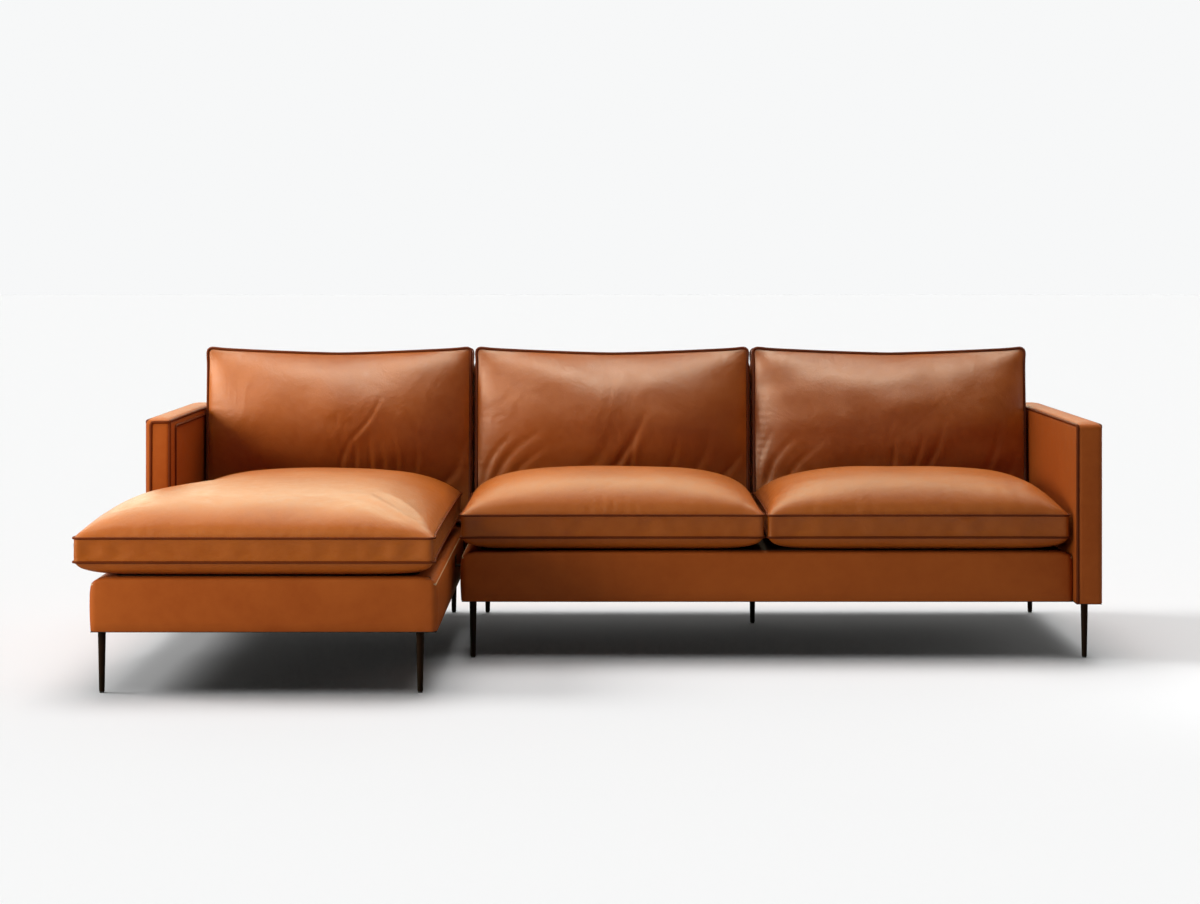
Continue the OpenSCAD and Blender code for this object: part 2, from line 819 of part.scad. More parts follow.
module padded_cover(corners, r, under, foot, box, crown, run) {
    color(leather) difference() {
        padded_form(corners, r, section(under, foot, box, crown, run, 0));
        padded_form(corners, r, section(under, foot, box, crown, run, leather_t));
    }
}

module padded_core(corners, r, under, foot, box, crown, run) {
    color(foam) padded_form(corners, r,
        section(under, foot, box, crown, run, leather_t + core_clear));
}

// Piping around a cushion at one height, lying against its border
module welt_loop(corners, r, z) {
    count = len(corners);
    for (i = [0:count - 1]) {
        c = corners[i];
        n = corners[(i + 1) % count];
        m = corner_centre(c, r, 0);
        m2 = corner_centre(n, r, 0);
        big = corner_radius(c, r, 0) + c[5] * welt_r;
        big2 = corner_radius(n, r, 0) + n[5] * welt_r;
        a = c[4] + c[5] * 90;
        translate([m[0], m[1], z]) rotate([0, 0, c[5] > 0 ? c[4] : a])
            rotate_extrude(angle = 90, $fn = 2 * round_fn)
                translate([big, 0]) circle(welt_r, $fn = round_fn);
        cord([m[0] + big * cos(a), m[1] + big * sin(a), z],
            [m2[0] + big2 * cos(n[4]), m2[1] + big2 * sin(n[4]), z]);
    }
}

module padded_welt(corners, r, under, box) {
    color(piping) for (z = [under, under + box]) welt_loop(corners, r, z);
}

function run_in(run, a, b) = min(run, 0.45 * min(a, b));

// Seat cushions
chaise_cushion_y0 = chaise_y0 - cushion_proud;
chaise_corners = notched_corners(chaise_cushion_x0, chaise_cushion_x1, chaise_cushion_y0,
    cushion_rear_y, left_arm_x1 + arm_clear, left_arm_y0 - arm_clear);
chaise_run = run_in(seat_run, left_arm_y0 - chaise_y0, chaise_cushion_x1 - left_arm_x1);
seat_depth_run = run_in(seat_run, seat_cushion_d, seat_cushion_w);
function seat_corners(x) =
    box_corners(x, x + seat_cushion_w, seat_y0 - cushion_proud, cushion_rear_y);

module seat_cushion_cover(corners, run) {
    translate([0, 0, cushion_z])
        padded_cover(corners, seat_r, seat_under, seat_foot, seat_box, seat_crown, run);
}
module seat_cushion_core(corners, run) {
    translate([0, 0, cushion_z])
        padded_core(corners, seat_r, seat_under, seat_foot, seat_box, seat_crown, run);
}
module seat_cushion_welt(corners) {
    translate([0, 0, cushion_z]) padded_welt(corners, seat_r, seat_under, seat_box);
}

// Back cushions are built lying down and stood up with their lean
function back_corners(w) = box_corners(0, w, 0, back_cushion_h);
function back_side_run(w) = run_in(back_run, w, back_cushion_h);

module stand_up(x) {
    translate([x, back_cushion_y, back_cushion_z]) rotate([90 - back_lean, 0, 0]) children();
}
module back_cushion_cover(x, w) {
    stand_up(x) padded_cover(back_corners(w), back_r, back_rear_crown, back_side_run(w),
        back_box, back_crown, back_side_run(w));
}
module back_cushion_core(x, w) {
    stand_up(x) padded_core(back_corners(w), back_r, back_rear_crown, back_side_run(w),
        back_box, back_crown, back_side_run(w));
}
module back_cushion_welt(x, w) {
    stand_up(x) padded_welt(back_corners(w), back_r, back_rear_crown, back_box);
}

// ---- The sub-parts ----

module seat_legs() { at_places(seat_leg_places) leg(); }
module seat_leg_plates() { at_places(seat_leg_places) leg_plate(); }
module seat_leg_screws() { at_places(seat_leg_places) leg_screws(); }
module seat_glides() { at_places(seat_leg_places) glide(); }
module chaise_legs() { at_places(chaise_leg_places) leg(); }
module chaise_leg_plates() { at_places(chaise_leg_places) leg_plate(); }
module chaise_leg_screws() { at_places(chaise_leg_places) leg_screws(); }
module chaise_glides() { at_places(chaise_leg_places) glide(); }

seat_front_rail();
seat_rear_rail();
seat_cross_rails();
seat_webbing();
seat_deck_pad();
seat_base_cover();
seat_dust_cover();
seat_legs();
seat_leg_plates();
seat_leg_screws();
seat_glides();
arm_frame(seat_x1, right_arm_x1, right_arm_y0, seat_leg_places);  // right_arm_frame
arm_foam_layer(seat_x1, right_arm_x1, right_arm_y0);  // right_arm_foam
arm_cover(seat_x1, right_arm_x1, right_arm_y0);  // right_arm_cover
arm_welt(seat_x1, right_arm_x1, right_arm_y0, leg_h + cloth_t);  // right_arm_welt
arm_bolts(seat_x1, seat_y0, 1);  // right_arm_bolts
back_frame(seat_x0, seat_x1, 3, seat_leg_places);  // seat_back_frame
back_foam_layer(seat_x0, seat_x1);  // seat_back_foam
back_cover(seat_x0, seat_x1);  // seat_back_cover
connector_sockets();
chaise_front_rail();
chaise_rear_rail();
chaise_side_rails();
chaise_cross_rails();
chaise_webbing();
chaise_deck_pad();
chaise_base_cover();
chaise_dust_cover();
chaise_legs();
chaise_leg_plates();
chaise_leg_screws();
chaise_glides();
arm_frame(left_arm_x0, left_arm_x1, left_arm_y0, chaise_leg_places);  // left_arm_frame
arm_foam_layer(left_arm_x0, left_arm_x1, left_arm_y0);  // left_arm_foam
arm_cover(left_arm_x0, left_arm_x1, left_arm_y0);  // left_arm_cover
arm_welt(left_arm_x0, left_arm_x1, left_arm_y0, base_top + cut);  // left_arm_welt
arm_bolts(left_arm_x1, left_arm_y0, -1);  // left_arm_bolts
back_frame(left_arm_x1, chaise_x1, 2, chaise_leg_places);  // chaise_back_frame
back_foam_layer(left_arm_x1, chaise_x1);  // chaise_back_foam
back_cover(left_arm_x1, chaise_x1);  // chaise_back_cover
connector_tongues();
seat_cushion_cover(chaise_corners, chaise_run);  // chaise_seat_cover
seat_cushion_core(chaise_corners, chaise_run);  // chaise_seat_core
seat_cushion_welt(chaise_corners);  // chaise_seat_welt
seat_cushion_cover(seat_corners(middle_seat_x), seat_depth_run);  // middle_seat_cover
seat_cushion_core(seat_corners(middle_seat_x), seat_depth_run);  // middle_seat_core
seat_cushion_welt(seat_corners(middle_seat_x));  // middle_seat_welt
seat_cushion_cover(seat_corners(right_seat_x), seat_depth_run);  // right_seat_cover
seat_cushion_core(seat_corners(right_seat_x), seat_depth_run);  // right_seat_core
seat_cushion_welt(seat_corners(right_seat_x));  // right_seat_welt
back_cushion_cover(left_back_x, left_back_w);  // left_back_cover
back_cushion_core(left_back_x, left_back_w);  // left_back_core
back_cushion_welt(left_back_x, left_back_w);  // left_back_welt
back_cushion_cover(middle_back_x, back_cushion_w);  // middle_back_cover
back_cushion_core(middle_back_x, back_cushion_w);  // middle_back_core
back_cushion_welt(middle_back_x, back_cushion_w);  // middle_back_welt
back_cushion_cover(right_back_x, back_cushion_w);  // right_back_cover
back_cushion_core(right_back_x, back_cushion_w);  // right_back_core
back_cushion_welt(right_back_x, back_cushion_w);  // right_back_welt
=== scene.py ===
import json
import math

import bpy
import numpy as np
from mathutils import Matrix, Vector

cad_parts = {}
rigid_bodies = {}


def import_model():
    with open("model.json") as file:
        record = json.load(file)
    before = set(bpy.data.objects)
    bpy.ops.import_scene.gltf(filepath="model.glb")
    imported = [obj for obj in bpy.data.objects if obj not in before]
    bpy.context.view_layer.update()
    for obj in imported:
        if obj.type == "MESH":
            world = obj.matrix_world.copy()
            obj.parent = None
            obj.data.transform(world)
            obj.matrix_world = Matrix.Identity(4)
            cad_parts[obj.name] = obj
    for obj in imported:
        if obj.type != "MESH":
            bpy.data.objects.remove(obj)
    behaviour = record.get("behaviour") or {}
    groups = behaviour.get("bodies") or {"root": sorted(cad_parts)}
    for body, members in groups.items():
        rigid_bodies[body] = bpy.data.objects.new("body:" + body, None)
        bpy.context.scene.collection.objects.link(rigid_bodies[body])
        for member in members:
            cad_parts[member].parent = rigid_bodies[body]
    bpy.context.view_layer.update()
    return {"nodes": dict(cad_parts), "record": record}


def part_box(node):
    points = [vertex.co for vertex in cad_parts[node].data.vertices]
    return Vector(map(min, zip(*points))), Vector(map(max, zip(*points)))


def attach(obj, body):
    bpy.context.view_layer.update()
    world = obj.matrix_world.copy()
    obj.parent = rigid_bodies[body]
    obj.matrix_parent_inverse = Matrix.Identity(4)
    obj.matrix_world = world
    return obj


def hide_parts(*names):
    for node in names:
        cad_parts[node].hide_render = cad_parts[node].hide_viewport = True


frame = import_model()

scene = bpy.context.scene
nodes = frame["nodes"]
print("frame loaded:", len(nodes), "nodes")

cameraSettings = {
    "place": (-0.0156, -6.0955, 1.088),
    "lens": 65.4,
    "sensor": 36.0,
    "shift": (-0.0022, -0.1608),
    "farClip": 200.0,
}


def makeCamera(settings):
    data = bpy.data.cameras.new("sofaCamera")
    data.lens = settings["lens"]
    data.sensor_width = settings["sensor"]
    data.sensor_fit = "HORIZONTAL"
    data.shift_x, data.shift_y = settings["shift"]
    data.clip_end = settings["farClip"]
    camera = bpy.data.objects.new("sofaCamera", data)
    camera.location = settings["place"]
    camera.rotation_euler = (math.pi / 2, 0, 0)  # level, looking along +Y
    scene.collection.objects.link(camera)
    scene.camera = camera


makeCamera(cameraSettings)


def setInputs(tree, sockets, values):
    # a socket gets linked, anything else becomes the value
    for key, value in values.items():
        if isinstance(value, bpy.types.NodeSocket):
            tree.links.new(value, sockets[key])
        else:
            sockets[key].default_value = value


def addNode(tree, kind, inputs=None, **settings):
    made = tree.nodes.new(kind)
    for key, value in settings.items():
        setattr(made, key, value)
    setInputs(tree, made.inputs, inputs or {})
    return made


def mathNode(tree, operation, a, b=0.0):
    return addNode(tree, "ShaderNodeMath", {0: a, 1: b}, operation=operation).outputs[0]


def mixColor(tree, factor, a, b):
    made = addNode(tree, "ShaderNodeMix", {0: factor, 6: a, 7: b}, data_type="RGBA")
    return made.outputs[2]


def mapRange(tree, value, fromLow, fromHigh, toLow=0.0, toHigh=1.0):
    made = addNode(tree, "ShaderNodeMapRange", {
        "Value": value, "From Min": fromLow, "From Max": fromHigh,
        "To Min": toLow, "To Max": toHigh})
    return made.outputs["Result"]


def objectPoint(tree):
    return addNode(tree, "ShaderNodeTexCoord").outputs["Object"]


def stretchPoint(tree, point, factors):
    return addNode(tree, "ShaderNodeVectorMath", {0: point, 1: factors},
                   operation="MULTIPLY").outputs[0]


def noise(tree, point, scale, detail, roughness, distortion=0.0):
    return addNode(tree, "ShaderNodeTexNoise", {
        "Vector": point, "Scale": scale, "Detail": detail, "Roughness": roughness,
        "Distortion": distortion}).outputs["Fac"]


def cellDistance(tree, point, scale):
    return addNode(tree, "ShaderNodeTexVoronoi", {
        "Vector": point, "Scale": scale}).outputs["Distance"]


def newGroup(name, inputs, outputs):
    tree = bpy.data.node_groups.new(name, "ShaderNodeTree")
    for label, kind, value in inputs:
        socket = tree.interface.new_socket(label, in_out="INPUT", socket_type=kind)
        socket.default_value = value
    for label, kind in outputs:
        tree.interface.new_socket(label, in_out="OUTPUT", socket_type=kind)
    start = tree.nodes.new("NodeGroupInput")
    end = tree.nodes.new("NodeGroupOutput")
    return tree, start.outputs, end.inputs


def useGroup(tree, group, inputs):
    return addNode(tree, "ShaderNodeGroup", inputs, node_tree=group).outputs


number, colour, vector = "NodeSocketFloat", "NodeSocketColor", "NodeSocketVector"


def makeGrainGroup():
    # small leather cells with pores between them
    tree, start, end = newGroup("leatherGrain", [
        ("Cells per metre", number, 520.0), ("Pore depth", number, 0.35),
    ], [("Height", number), ("Pores", number)])
    point = objectPoint(tree)
    cells = addNode(tree, "ShaderNodeTexVoronoi", {
        "Vector": point, "Scale": start["Cells per metre"], "Randomness": 1.0},
        feature="DISTANCE_TO_EDGE")
    lumps = mathNode(tree, "MULTIPLY", noise(tree, point, 140.0, 3.0, 0.55), 0.8)
    edge = mapRange(tree, cells.outputs["Distance"], 0.0, 0.12)
    pores = mathNode(tree, "SUBTRACT", 1.0, edge)
    deep = mathNode(tree, "MULTIPLY", pores, start["Pore depth"])
    setInputs(tree, end, {"Height": mathNode(tree, "SUBTRACT", lumps, deep), "Pores": pores})
    return tree


def makeToneGroup():
    # slow changes of the dye, fine mottling and darker pores
    tree, start, end = newGroup("leatherTone", [
        ("Base", colour, (0.4, 0.15, 0.05, 1)), ("Deep", colour, (0.3, 0.1, 0.03, 1)),
        ("Pale", colour, (0.5, 0.2, 0.08, 1)), ("Pores", number, 0.0),
        ("Pore darkness", number, 0.25), ("Mottle", number, 0.5),
    ], [("Color", colour), ("Variation", number)])
    point = objectPoint(tree)
    broad = mapRange(tree, noise(tree, point, 3.2, 4.0, 0.55, 0.6), 0.32, 0.68)
    fine = mapRange(tree, noise(tree, point, 38.0, 6.0, 0.62), 0.3, 0.7)
    paleShare = mathNode(tree, "MULTIPLY", fine, start["Mottle"])
    poreShare = mathNode(tree, "MULTIPLY", start["Pores"], start["Pore darkness"])
    dyed = mixColor(tree, broad, start["Deep"], start["Base"])
    mottled = mixColor(tree, paleShare, dyed, start["Pale"])
    setInputs(tree, end, {"Color": mixColor(tree, poreShare, mottled, start["Deep"]),
                          "Variation": fine})
    return tree


def makeCreaseGroup():
    # long soft wrinkles and hair-fine creases
    tree, start, end = newGroup("leatherCreases", [
        ("Stretch", vector, (1.0, 1.0, 1.0)), ("Size", number, 9.0), ("Fine", number, 0.35),
    ], [("Height", number), ("Lines", number)])
    point = stretchPoint(tree, objectPoint(tree), start["Stretch"])
    soft = noise(tree, point, start["Size"], 3.0, 0.5, 1.4)
    thin = noise(tree, point, mathNode(tree, "MULTIPLY", start["Size"], 5.0), 5.0, 0.6, 0.8)
    away = mathNode(tree, "ABSOLUTE", mathNode(tree, "SUBTRACT", thin, 0.5))
    lines = mapRange(tree, away, 0.0, 0.035, 1.0, 0.0)
    cut = mathNode(tree, "MULTIPLY", lines, start["Fine"])
    setInputs(tree, end, {"Height": mathNode(tree, "SUBTRACT", soft, cut), "Lines": lines})
    return tree


def makeWeaveGroup():
    # plain weave of threads
    tree, start, end = newGroup("plainWeave", [
        ("Threads per metre", number, 900.0), ("Vector", vector, (0.0, 0.0, 0.0)),
    ], [("Height", number), ("Shade", number)])
    parts = addNode(tree, "ShaderNodeSeparateXYZ", {0: start["Vector"]})
    turn = mathNode(tree, "MULTIPLY", start["Threads per metre"], math.pi)
    a, b, c = (mathNode(tree, "SINE", mathNode(tree, "MULTIPLY", parts.outputs[i], turn))
               for i in range(3))
    both = mathNode(tree, "MULTIPLY", mathNode(tree, "MULTIPLY", a, b), 0.5)
    level = mathNode(tree, "ADD", both, mathNode(tree, "MULTIPLY", c, 0.2))
    setInputs(tree, end, {"Height": level, "Shade": mapRange(tree, level, -0.5, 0.5)})
    return tree


grainGroup = makeGrainGroup()
toneGroup = makeToneGroup()
creaseGroup = makeCreaseGroup()
weaveGroup = makeWeaveGroup()


def newMaterial(name):
    material = bpy.data.materials.new(name)
    material.use_nodes = True
    tree = material.node_tree
    return material, tree, tree.nodes["Principled BSDF"].inputs


def bumpChain(tree, *steps):
    # each step is (height, depth in metres, strength)
    normal = None
    for height, depth, strength in steps:
        inputs = {"Height": height, "Distance": depth, "Strength": strength}
        if normal is not None:
            inputs["Normal"] = normal
        normal = addNode(tree, "ShaderNodeBump", inputs).outputs["Normal"]
    return normal


cushionLeather = {
    "base": (0.40, 0.091, 0.0036, 1), "deep": (0.33, 0.067, 0.0022, 1),
    "pale": (0.465, 0.118, 0.006, 1), "poreDark": 0.2, "poreDepth": 0.35, "mottle": 0.35,
    "roughLow": 0.36, "roughHigh": 0.48, "specular": 0.5, "cells": 520.0,
    "grainDepth": 0.00025, "grainBump": 0.8, "creaseSize": 7.0,
    "creaseStretch": (1.0, 1.0, 1.0), "creaseDepth": 0.0025, "fineCrease": 0.03,
    "coat": 0.06, "coatRough": 0.34, "sheen": 0.04, "sheenRough": 0.45,
    "sheenTint": (1.0, 0.72, 0.45, 1),
}
frameLeather = dict(
    cushionLeather, base=(0.395, 0.089, 0.0125, 1), deep=(0.325, 0.065, 0.008, 1),
    pale=(0.46, 0.115, 0.018, 1), specular=0.13, roughLow=0.5, roughHigh=0.6, coat=0.0,
    sheen=0.0, mottle=0.3, creaseSize=3.5, creaseDepth=0.001, fineCrease=0.02)
pipingLeather = dict(
    cushionLeather, base=(0.15, 0.026, 0.004, 1), deep=(0.09, 0.014, 0.002, 1),
    pale=(0.2, 0.038, 0.006, 1), mottle=0.3, roughLow=0.6, roughHigh=0.7, creaseSize=40.0,
    creaseDepth=0.0004, cells=900.0, grainDepth=0.00015, coat=0.0, sheen=0.0,
    specular=0.12)


def makeLeather(name, look):
    material, tree, skin = newMaterial(name)
    grain = useGroup(tree, grainGroup, {
        "Cells per metre": look["cells"], "Pore depth": look["poreDepth"]})
    tone = useGroup(tree, toneGroup, {
        "Base": look["base"], "Deep": look["deep"], "Pale": look["pale"],
        "Pores": grain["Pores"], "Pore darkness": look["poreDark"], "Mottle": look["mottle"]})
    crease = useGroup(tree, creaseGroup, {
        "Stretch": look["creaseStretch"], "Size": look["creaseSize"],
        "Fine": look["fineCrease"]})
    # the fine crease lines also pull the base colour a little toward the deep tone: painted
    # shade in the creases
    lines = mathNode(tree, "MULTIPLY", crease["Lines"], look["fineCrease"])
    rough = mapRange(tree, tone["Variation"], 0.0, 1.0, look["roughLow"], look["roughHigh"])
    normal = bumpChain(tree, (crease["Height"], look["creaseDepth"], 1.0),
                       (grain["Height"], look["grainDepth"], look["grainBump"]))
    setInputs(tree, skin, {
        "Base Color": mixColor(tree, lines, tone["Color"], look["deep"]),
        "Roughness": rough, "Specular IOR Level": look["specular"],
        "Coat Weight": look["coat"], "Coat Roughness": look["coatRough"],
        "Sheen Weight": look["sheen"], "Sheen Roughness": look["sheenRough"],
        "Sheen Tint": look["sheenTint"], "Normal": normal})
    return material


def makeCloth(name, base, dark, threads, rough):
    material, tree, skin = newMaterial(name)
    weave = useGroup(tree, weaveGroup, {
        "Threads per metre": threads, "Vector": objectPoint(tree)})
    setInputs(tree, skin, {
        "Base Color": mixColor(tree, weave["Shade"], dark, base), "Roughness": rough,
        "Normal": bumpChain(tree, (weave["Height"], 0.0004, 0.7))})
    return material


def makeMetal(name, base, dark, metallic, roughLow, roughHigh, specular=0.5):
    material, tree, skin = newMaterial(name)
    point = objectPoint(tree)
    drawn = noise(tree, stretchPoint(tree, point, (1.0, 1.0, 0.06)), 700.0, 4.0, 0.6)
    wear = mapRange(tree, noise(tree, point, 24.0, 4.0, 0.6), 0.35, 0.7)
    setInputs(tree, skin, {
        "Base Color": mixColor(tree, wear, base, dark),
        "Roughness": mapRange(tree, wear, 0.0, 1.0, roughLow, roughHigh),
        "Metallic": metallic, "Specular IOR Level": specular,
        "Normal": bumpChain(tree, (drawn, 0.0001, 0.5))})
    return material


beech = {
    "texture": noise, "settings": (3.0, 6.0, 0.6, 1.5), "stretch": (2.0, 14.0, 14.0),
    "reach": (0.35, 0.65), "dark": (0.42, 0.25, 0.12, 1), "pale": (0.62, 0.43, 0.24, 1),
    "rough": (0.55, 0.75), "bump": (0.0003, 0.6),
}
cutFoam = {
    "texture": cellDistance, "settings": (450.0,), "stretch": (1.0, 1.0, 1.0),
    "reach": (0.0, 0.7), "dark": (0.55, 0.5, 0.33, 1), "pale": (0.8, 0.76, 0.58, 1),
    "rough": (0.95, 0.95), "bump": (0.0008, 0.8),
}
glidePlastic = {
    "texture": noise, "settings": (900.0, 2.0, 0.5), "stretch": (1.0, 1.0, 1.0),
    "reach": (0.3, 0.7), "dark": (0.02, 0.02, 0.02, 1), "pale": (0.035, 0.034, 0.033, 1),
    "rough": (0.55, 0.55), "bump": (0.0001, 0.5),
}


def makeTwoTone(name, look):
    # one texture mixes two colours and two roughnesses, and raises the surface
    material, tree, skin = newMaterial(name)
    point = stretchPoint(tree, objectPoint(tree), look["stretch"])
    mask = mapRange(tree, look["texture"](tree, point, *look["settings"]), *look["reach"])
    setInputs(tree, skin, {
        "Base Color": mixColor(tree, mask, look["dark"], look["pale"]),
        "Roughness": mapRange(tree, mask, 0.0, 1.0, *look["rough"]),
        "Normal": bumpChain(tree, (mask, *look["bump"]))})
    return material


finishes = {
    "leather": makeLeather("tanLeather", cushionLeather),
    "frame": makeLeather("tanLeatherFrame", frameLeather),
    "piping_leather": makeLeather("pipingLeather", pipingLeather),
    "dust_cloth": makeCloth("dustCloth", (0.03, 0.03, 0.032, 1), (0.012, 0.012, 0.013, 1),
                            700.0, 0.95),
    "webbing": makeCloth("webbingBand", (0.5, 0.46, 0.38, 1), (0.12, 0.1, 0.08, 1), 400.0, 0.85),
    "deck": makeCloth("deckCloth", (0.085, 0.05, 0.03, 1), (0.035, 0.02, 0.012, 1), 800.0, 0.9),
    "leg_steel": makeMetal("bronzedSteel", (0.024, 0.009, 0.004, 1), (0.012, 0.006, 0.003, 1),
                           0.3, 0.42, 0.56, 0.1),
    "zinc_steel": makeMetal("zincSteel", (0.6, 0.6, 0.62, 1), (0.42, 0.42, 0.43, 1),
                            1.0, 0.3, 0.5),
    "timber": makeTwoTone("beechRail", beech),
    "foam": makeTwoTone("cutFoam", cutFoam),
    "glide_plastic": makeTwoTone("glidePlastic", glidePlastic),
}
print("finishes made")


def spread(stops, step):
    # evenly spaced lines between the stops
    lines = [stops[0]]
    for a, b in zip(stops, stops[1:]):
        count = max(1, round((b - a) / step))
        lines += [a + (b - a) * (i + 1) / count for i in range(count)]
    return np.array(lines)


def unit(v):
    return v / np.linalg.norm(v)


def smooth(t):
    t = np.clip(t, 0.0, 1.0)
    return t * t * (3 - 2 * t)


def makePiece(name, points, faces, finish, body):
    mesh = bpy.data.meshes.new(name)
    mesh.from_pydata([tuple(p) for p in points], [], [tuple(f) for f in faces])
    mesh.validate()
    mesh.update()
    mesh.shade_smooth()
    piece = bpy.data.objects.new(name, mesh)
    scene.collection.objects.link(piece)
    mesh.materials.append(finishes[finish])
    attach(piece, body)
    return piece


anySide = (0.3, 0.2, 0.93)  # along none of the paths


def tubeMesh(path, radius, closed, sides=10):
    # rings of points around a path; the frame is carried along it without twisting
    path = np.asarray(path, float)
    count = len(path)
    if closed:
        tangents = np.roll(path, -1, 0) - np.roll(path, 1, 0)
    else:
        tangents = np.gradient(path, axis=0)
    tangents /= np.linalg.norm(tangents, axis=1)[:, None]
    sidesAt = [unit(np.cross(tangents[0], anySide))]
    for t in tangents[1:]:
        sidesAt.append(unit(sidesAt[-1] - t * np.dot(sidesAt[-1], t)))
    sidesAt = np.array(sidesAt)
    if closed:  # spread what twist is left over the whole loop
        last = unit(sidesAt[-1] - tangents[0] * np.dot(sidesAt[-1], tangents[0]))
        left = math.atan2(np.dot(np.cross(last, sidesAt[0]), tangents[0]),
                          np.dot(last, sidesAt[0]))
        turn = np.linspace(0, left, count)[:, None]
        up = np.cross(tangents, sidesAt)
        sidesAt = sidesAt * np.cos(turn) + up * np.sin(turn)
    ups = np.cross(tangents, sidesAt)
    angles = np.arange(sides) * 2 * math.pi / sides
    points = (path[:, None, :] + radius * (sidesAt[:, None, :] * np.cos(angles)[None, :, None]
              + ups[:, None, :] * np.sin(angles)[None, :, None])).reshape(-1, 3)
    faces = []
    for i in range(count if closed else count - 1):
        n = (i + 1) % count
        for s in range(sides):
            m = (s + 1) % sides
            faces.append((i * sides + s, i * sides + m, n * sides + m, n * sides + s))
    if not closed:
        faces.append(tuple(range(sides - 1, -1, -1)))
        faces.append(tuple((count - 1) * sides + s for s in range(sides)))
    return points, faces


def joinMeshes(parts):
    points, faces, base = [], [], 0
    for p, f in parts:
        points.append(np.asarray(p))
        faces += [tuple(i + base for i in face) for face in f]
        base += len(p)
    return np.vstack(points), faces


def resample(path, step, closed):
    path = np.asarray(path, float)
    if closed:
        path = np.vstack([path, path[:1]])
    lengths = np.linalg.norm(np.diff(path, axis=0), axis=1)
    along = np.concatenate([[0], np.cumsum(lengths)])
    count = max(4, int(round(along[-1] / step)))
    where = np.linspace(0, along[-1], count + 1)
    if closed:
        where = where[:-1]
    return np.stack([np.interp(where, along, path[:, i]) for i in range(3)], axis=1)


membranePasses, relaxPasses = 260, 60


def membrane(free, step, firm):
    # height of a skin blown up over the free points: 0 at the border, 1 at its top
    level = np.zeros(free.shape)
    parity = np.indices(free.shape).sum(0) % 2
    reach = min(free.any(1).sum(), free.any(0).sum())
    omega = 2 / (1 + math.sin(math.pi / reach))
    screen = (firm * step) ** 2
    for _ in range(membranePasses):
        for shade in (0, 1):
            near = np.zeros(free.shape)
            near[1:-1, 1:-1] = (level[2:, 1:-1] + level[:-2, 1:-1]
                                + level[1:-1, 2:] + level[1:-1, :-2])
            pick = free & (parity == shade)
            level[pick] += omega * ((near[pick] + 1) / (4 + screen) - level[pick])
    return level / level.max()


class Plan:
    # the outline of a cushion seen from above its front panel, as a grid of points
    def __init__(self, stopsU, stopsV, step, radius, notch):
        us, vs = spread(stopsU, step), spread(stopsV, step)
        cells = np.ones((len(us) - 1, len(vs) - 1), bool)
        if notch:  # a corner left out at low u and high v
            cu, cv = (us[:-1] + us[1:]) / 2, (vs[:-1] + vs[1:]) / 2
            cells &= ~((cu[:, None] < notch[0]) & (cv[None, :] > notch[1]))
        self.cells = cells
        padded = np.zeros((len(us) + 1, len(vs) + 1), bool)
        padded[1:-1, 1:-1] = cells
        around = (padded[:-1, :-1].astype(int) + padded[1:, :-1] + padded[:-1, 1:]
                  + padded[1:, 1:])
        self.inner = around == 4
        self.flat = np.stack(np.meshgrid(us, vs, indexing="ij"), axis=-1)
        self.loop = self.traceLoop()
        self.round(radius)

    def traceLoop(self):
        # border points in order, anticlockwise
        nextOf = {}
        nu, nv = self.cells.shape
        for i in range(nu):
            for j in range(nv):
                if not self.cells[i, j]:
                    continue
                if j == 0 or not self.cells[i, j - 1]:
                    nextOf[(i, j)] = (i + 1, j)
                if i == nu - 1 or not self.cells[i + 1, j]:
                    nextOf[(i + 1, j)] = (i + 1, j + 1)
                if j == nv - 1 or not self.cells[i, j + 1]:
                    nextOf[(i + 1, j + 1)] = (i, j + 1)
                if i == 0 or not self.cells[i - 1, j]:
                    nextOf[(i, j + 1)] = (i, j)
        first = min(nextOf)
        loop, at = [first], nextOf[first]
        while at != first:
            loop.append(at)
            at = nextOf[at]
        return loop

    def round(self, radius):
        # turn the corners of the border into rounds, then let the inner points follow
        grid = self.flat.copy()
        points = np.array([self.flat[i, j] for i, j in self.loop])
        count = len(points)
        for c, corner in enumerate(points):
            before = unit(corner - points[c - 1])
            after = unit(points[(c + 1) % count] - corner)
            if abs(np.dot(before, after)) > 0.5:
                continue
            centre = corner + radius * (after - before)
            for way, step in ((-before, -1), (after, 1)):
                start = (corner + way * radius - centre) / radius
                k = c
                while (d := np.dot(points[k % count] - corner, way)) < radius:
                    angle = (1 - d / radius) * math.pi / 4
                    turned = start * math.cos(angle) - way * math.sin(angle)
                    grid[self.loop[k % count]] = centre + radius * turned
                    k += step
        for _ in range(relaxPasses):
            near = (np.roll(grid, 1, 0) + np.roll(grid, -1, 0) + np.roll(grid, 1, 1)
                    + np.roll(grid, -1, 1)) / 4
            grid[self.inner] = near[self.inner]
        self.grid = grid


def shares(u, v, spec):
    # how far across and along the panel, from 0 to 1
    return ((u - spec["u"][0]) / (spec["u"][-1] - spec["u"][0]),
            (v - spec["v"][0]) / (spec["v"][-1] - spec["v"][0]))


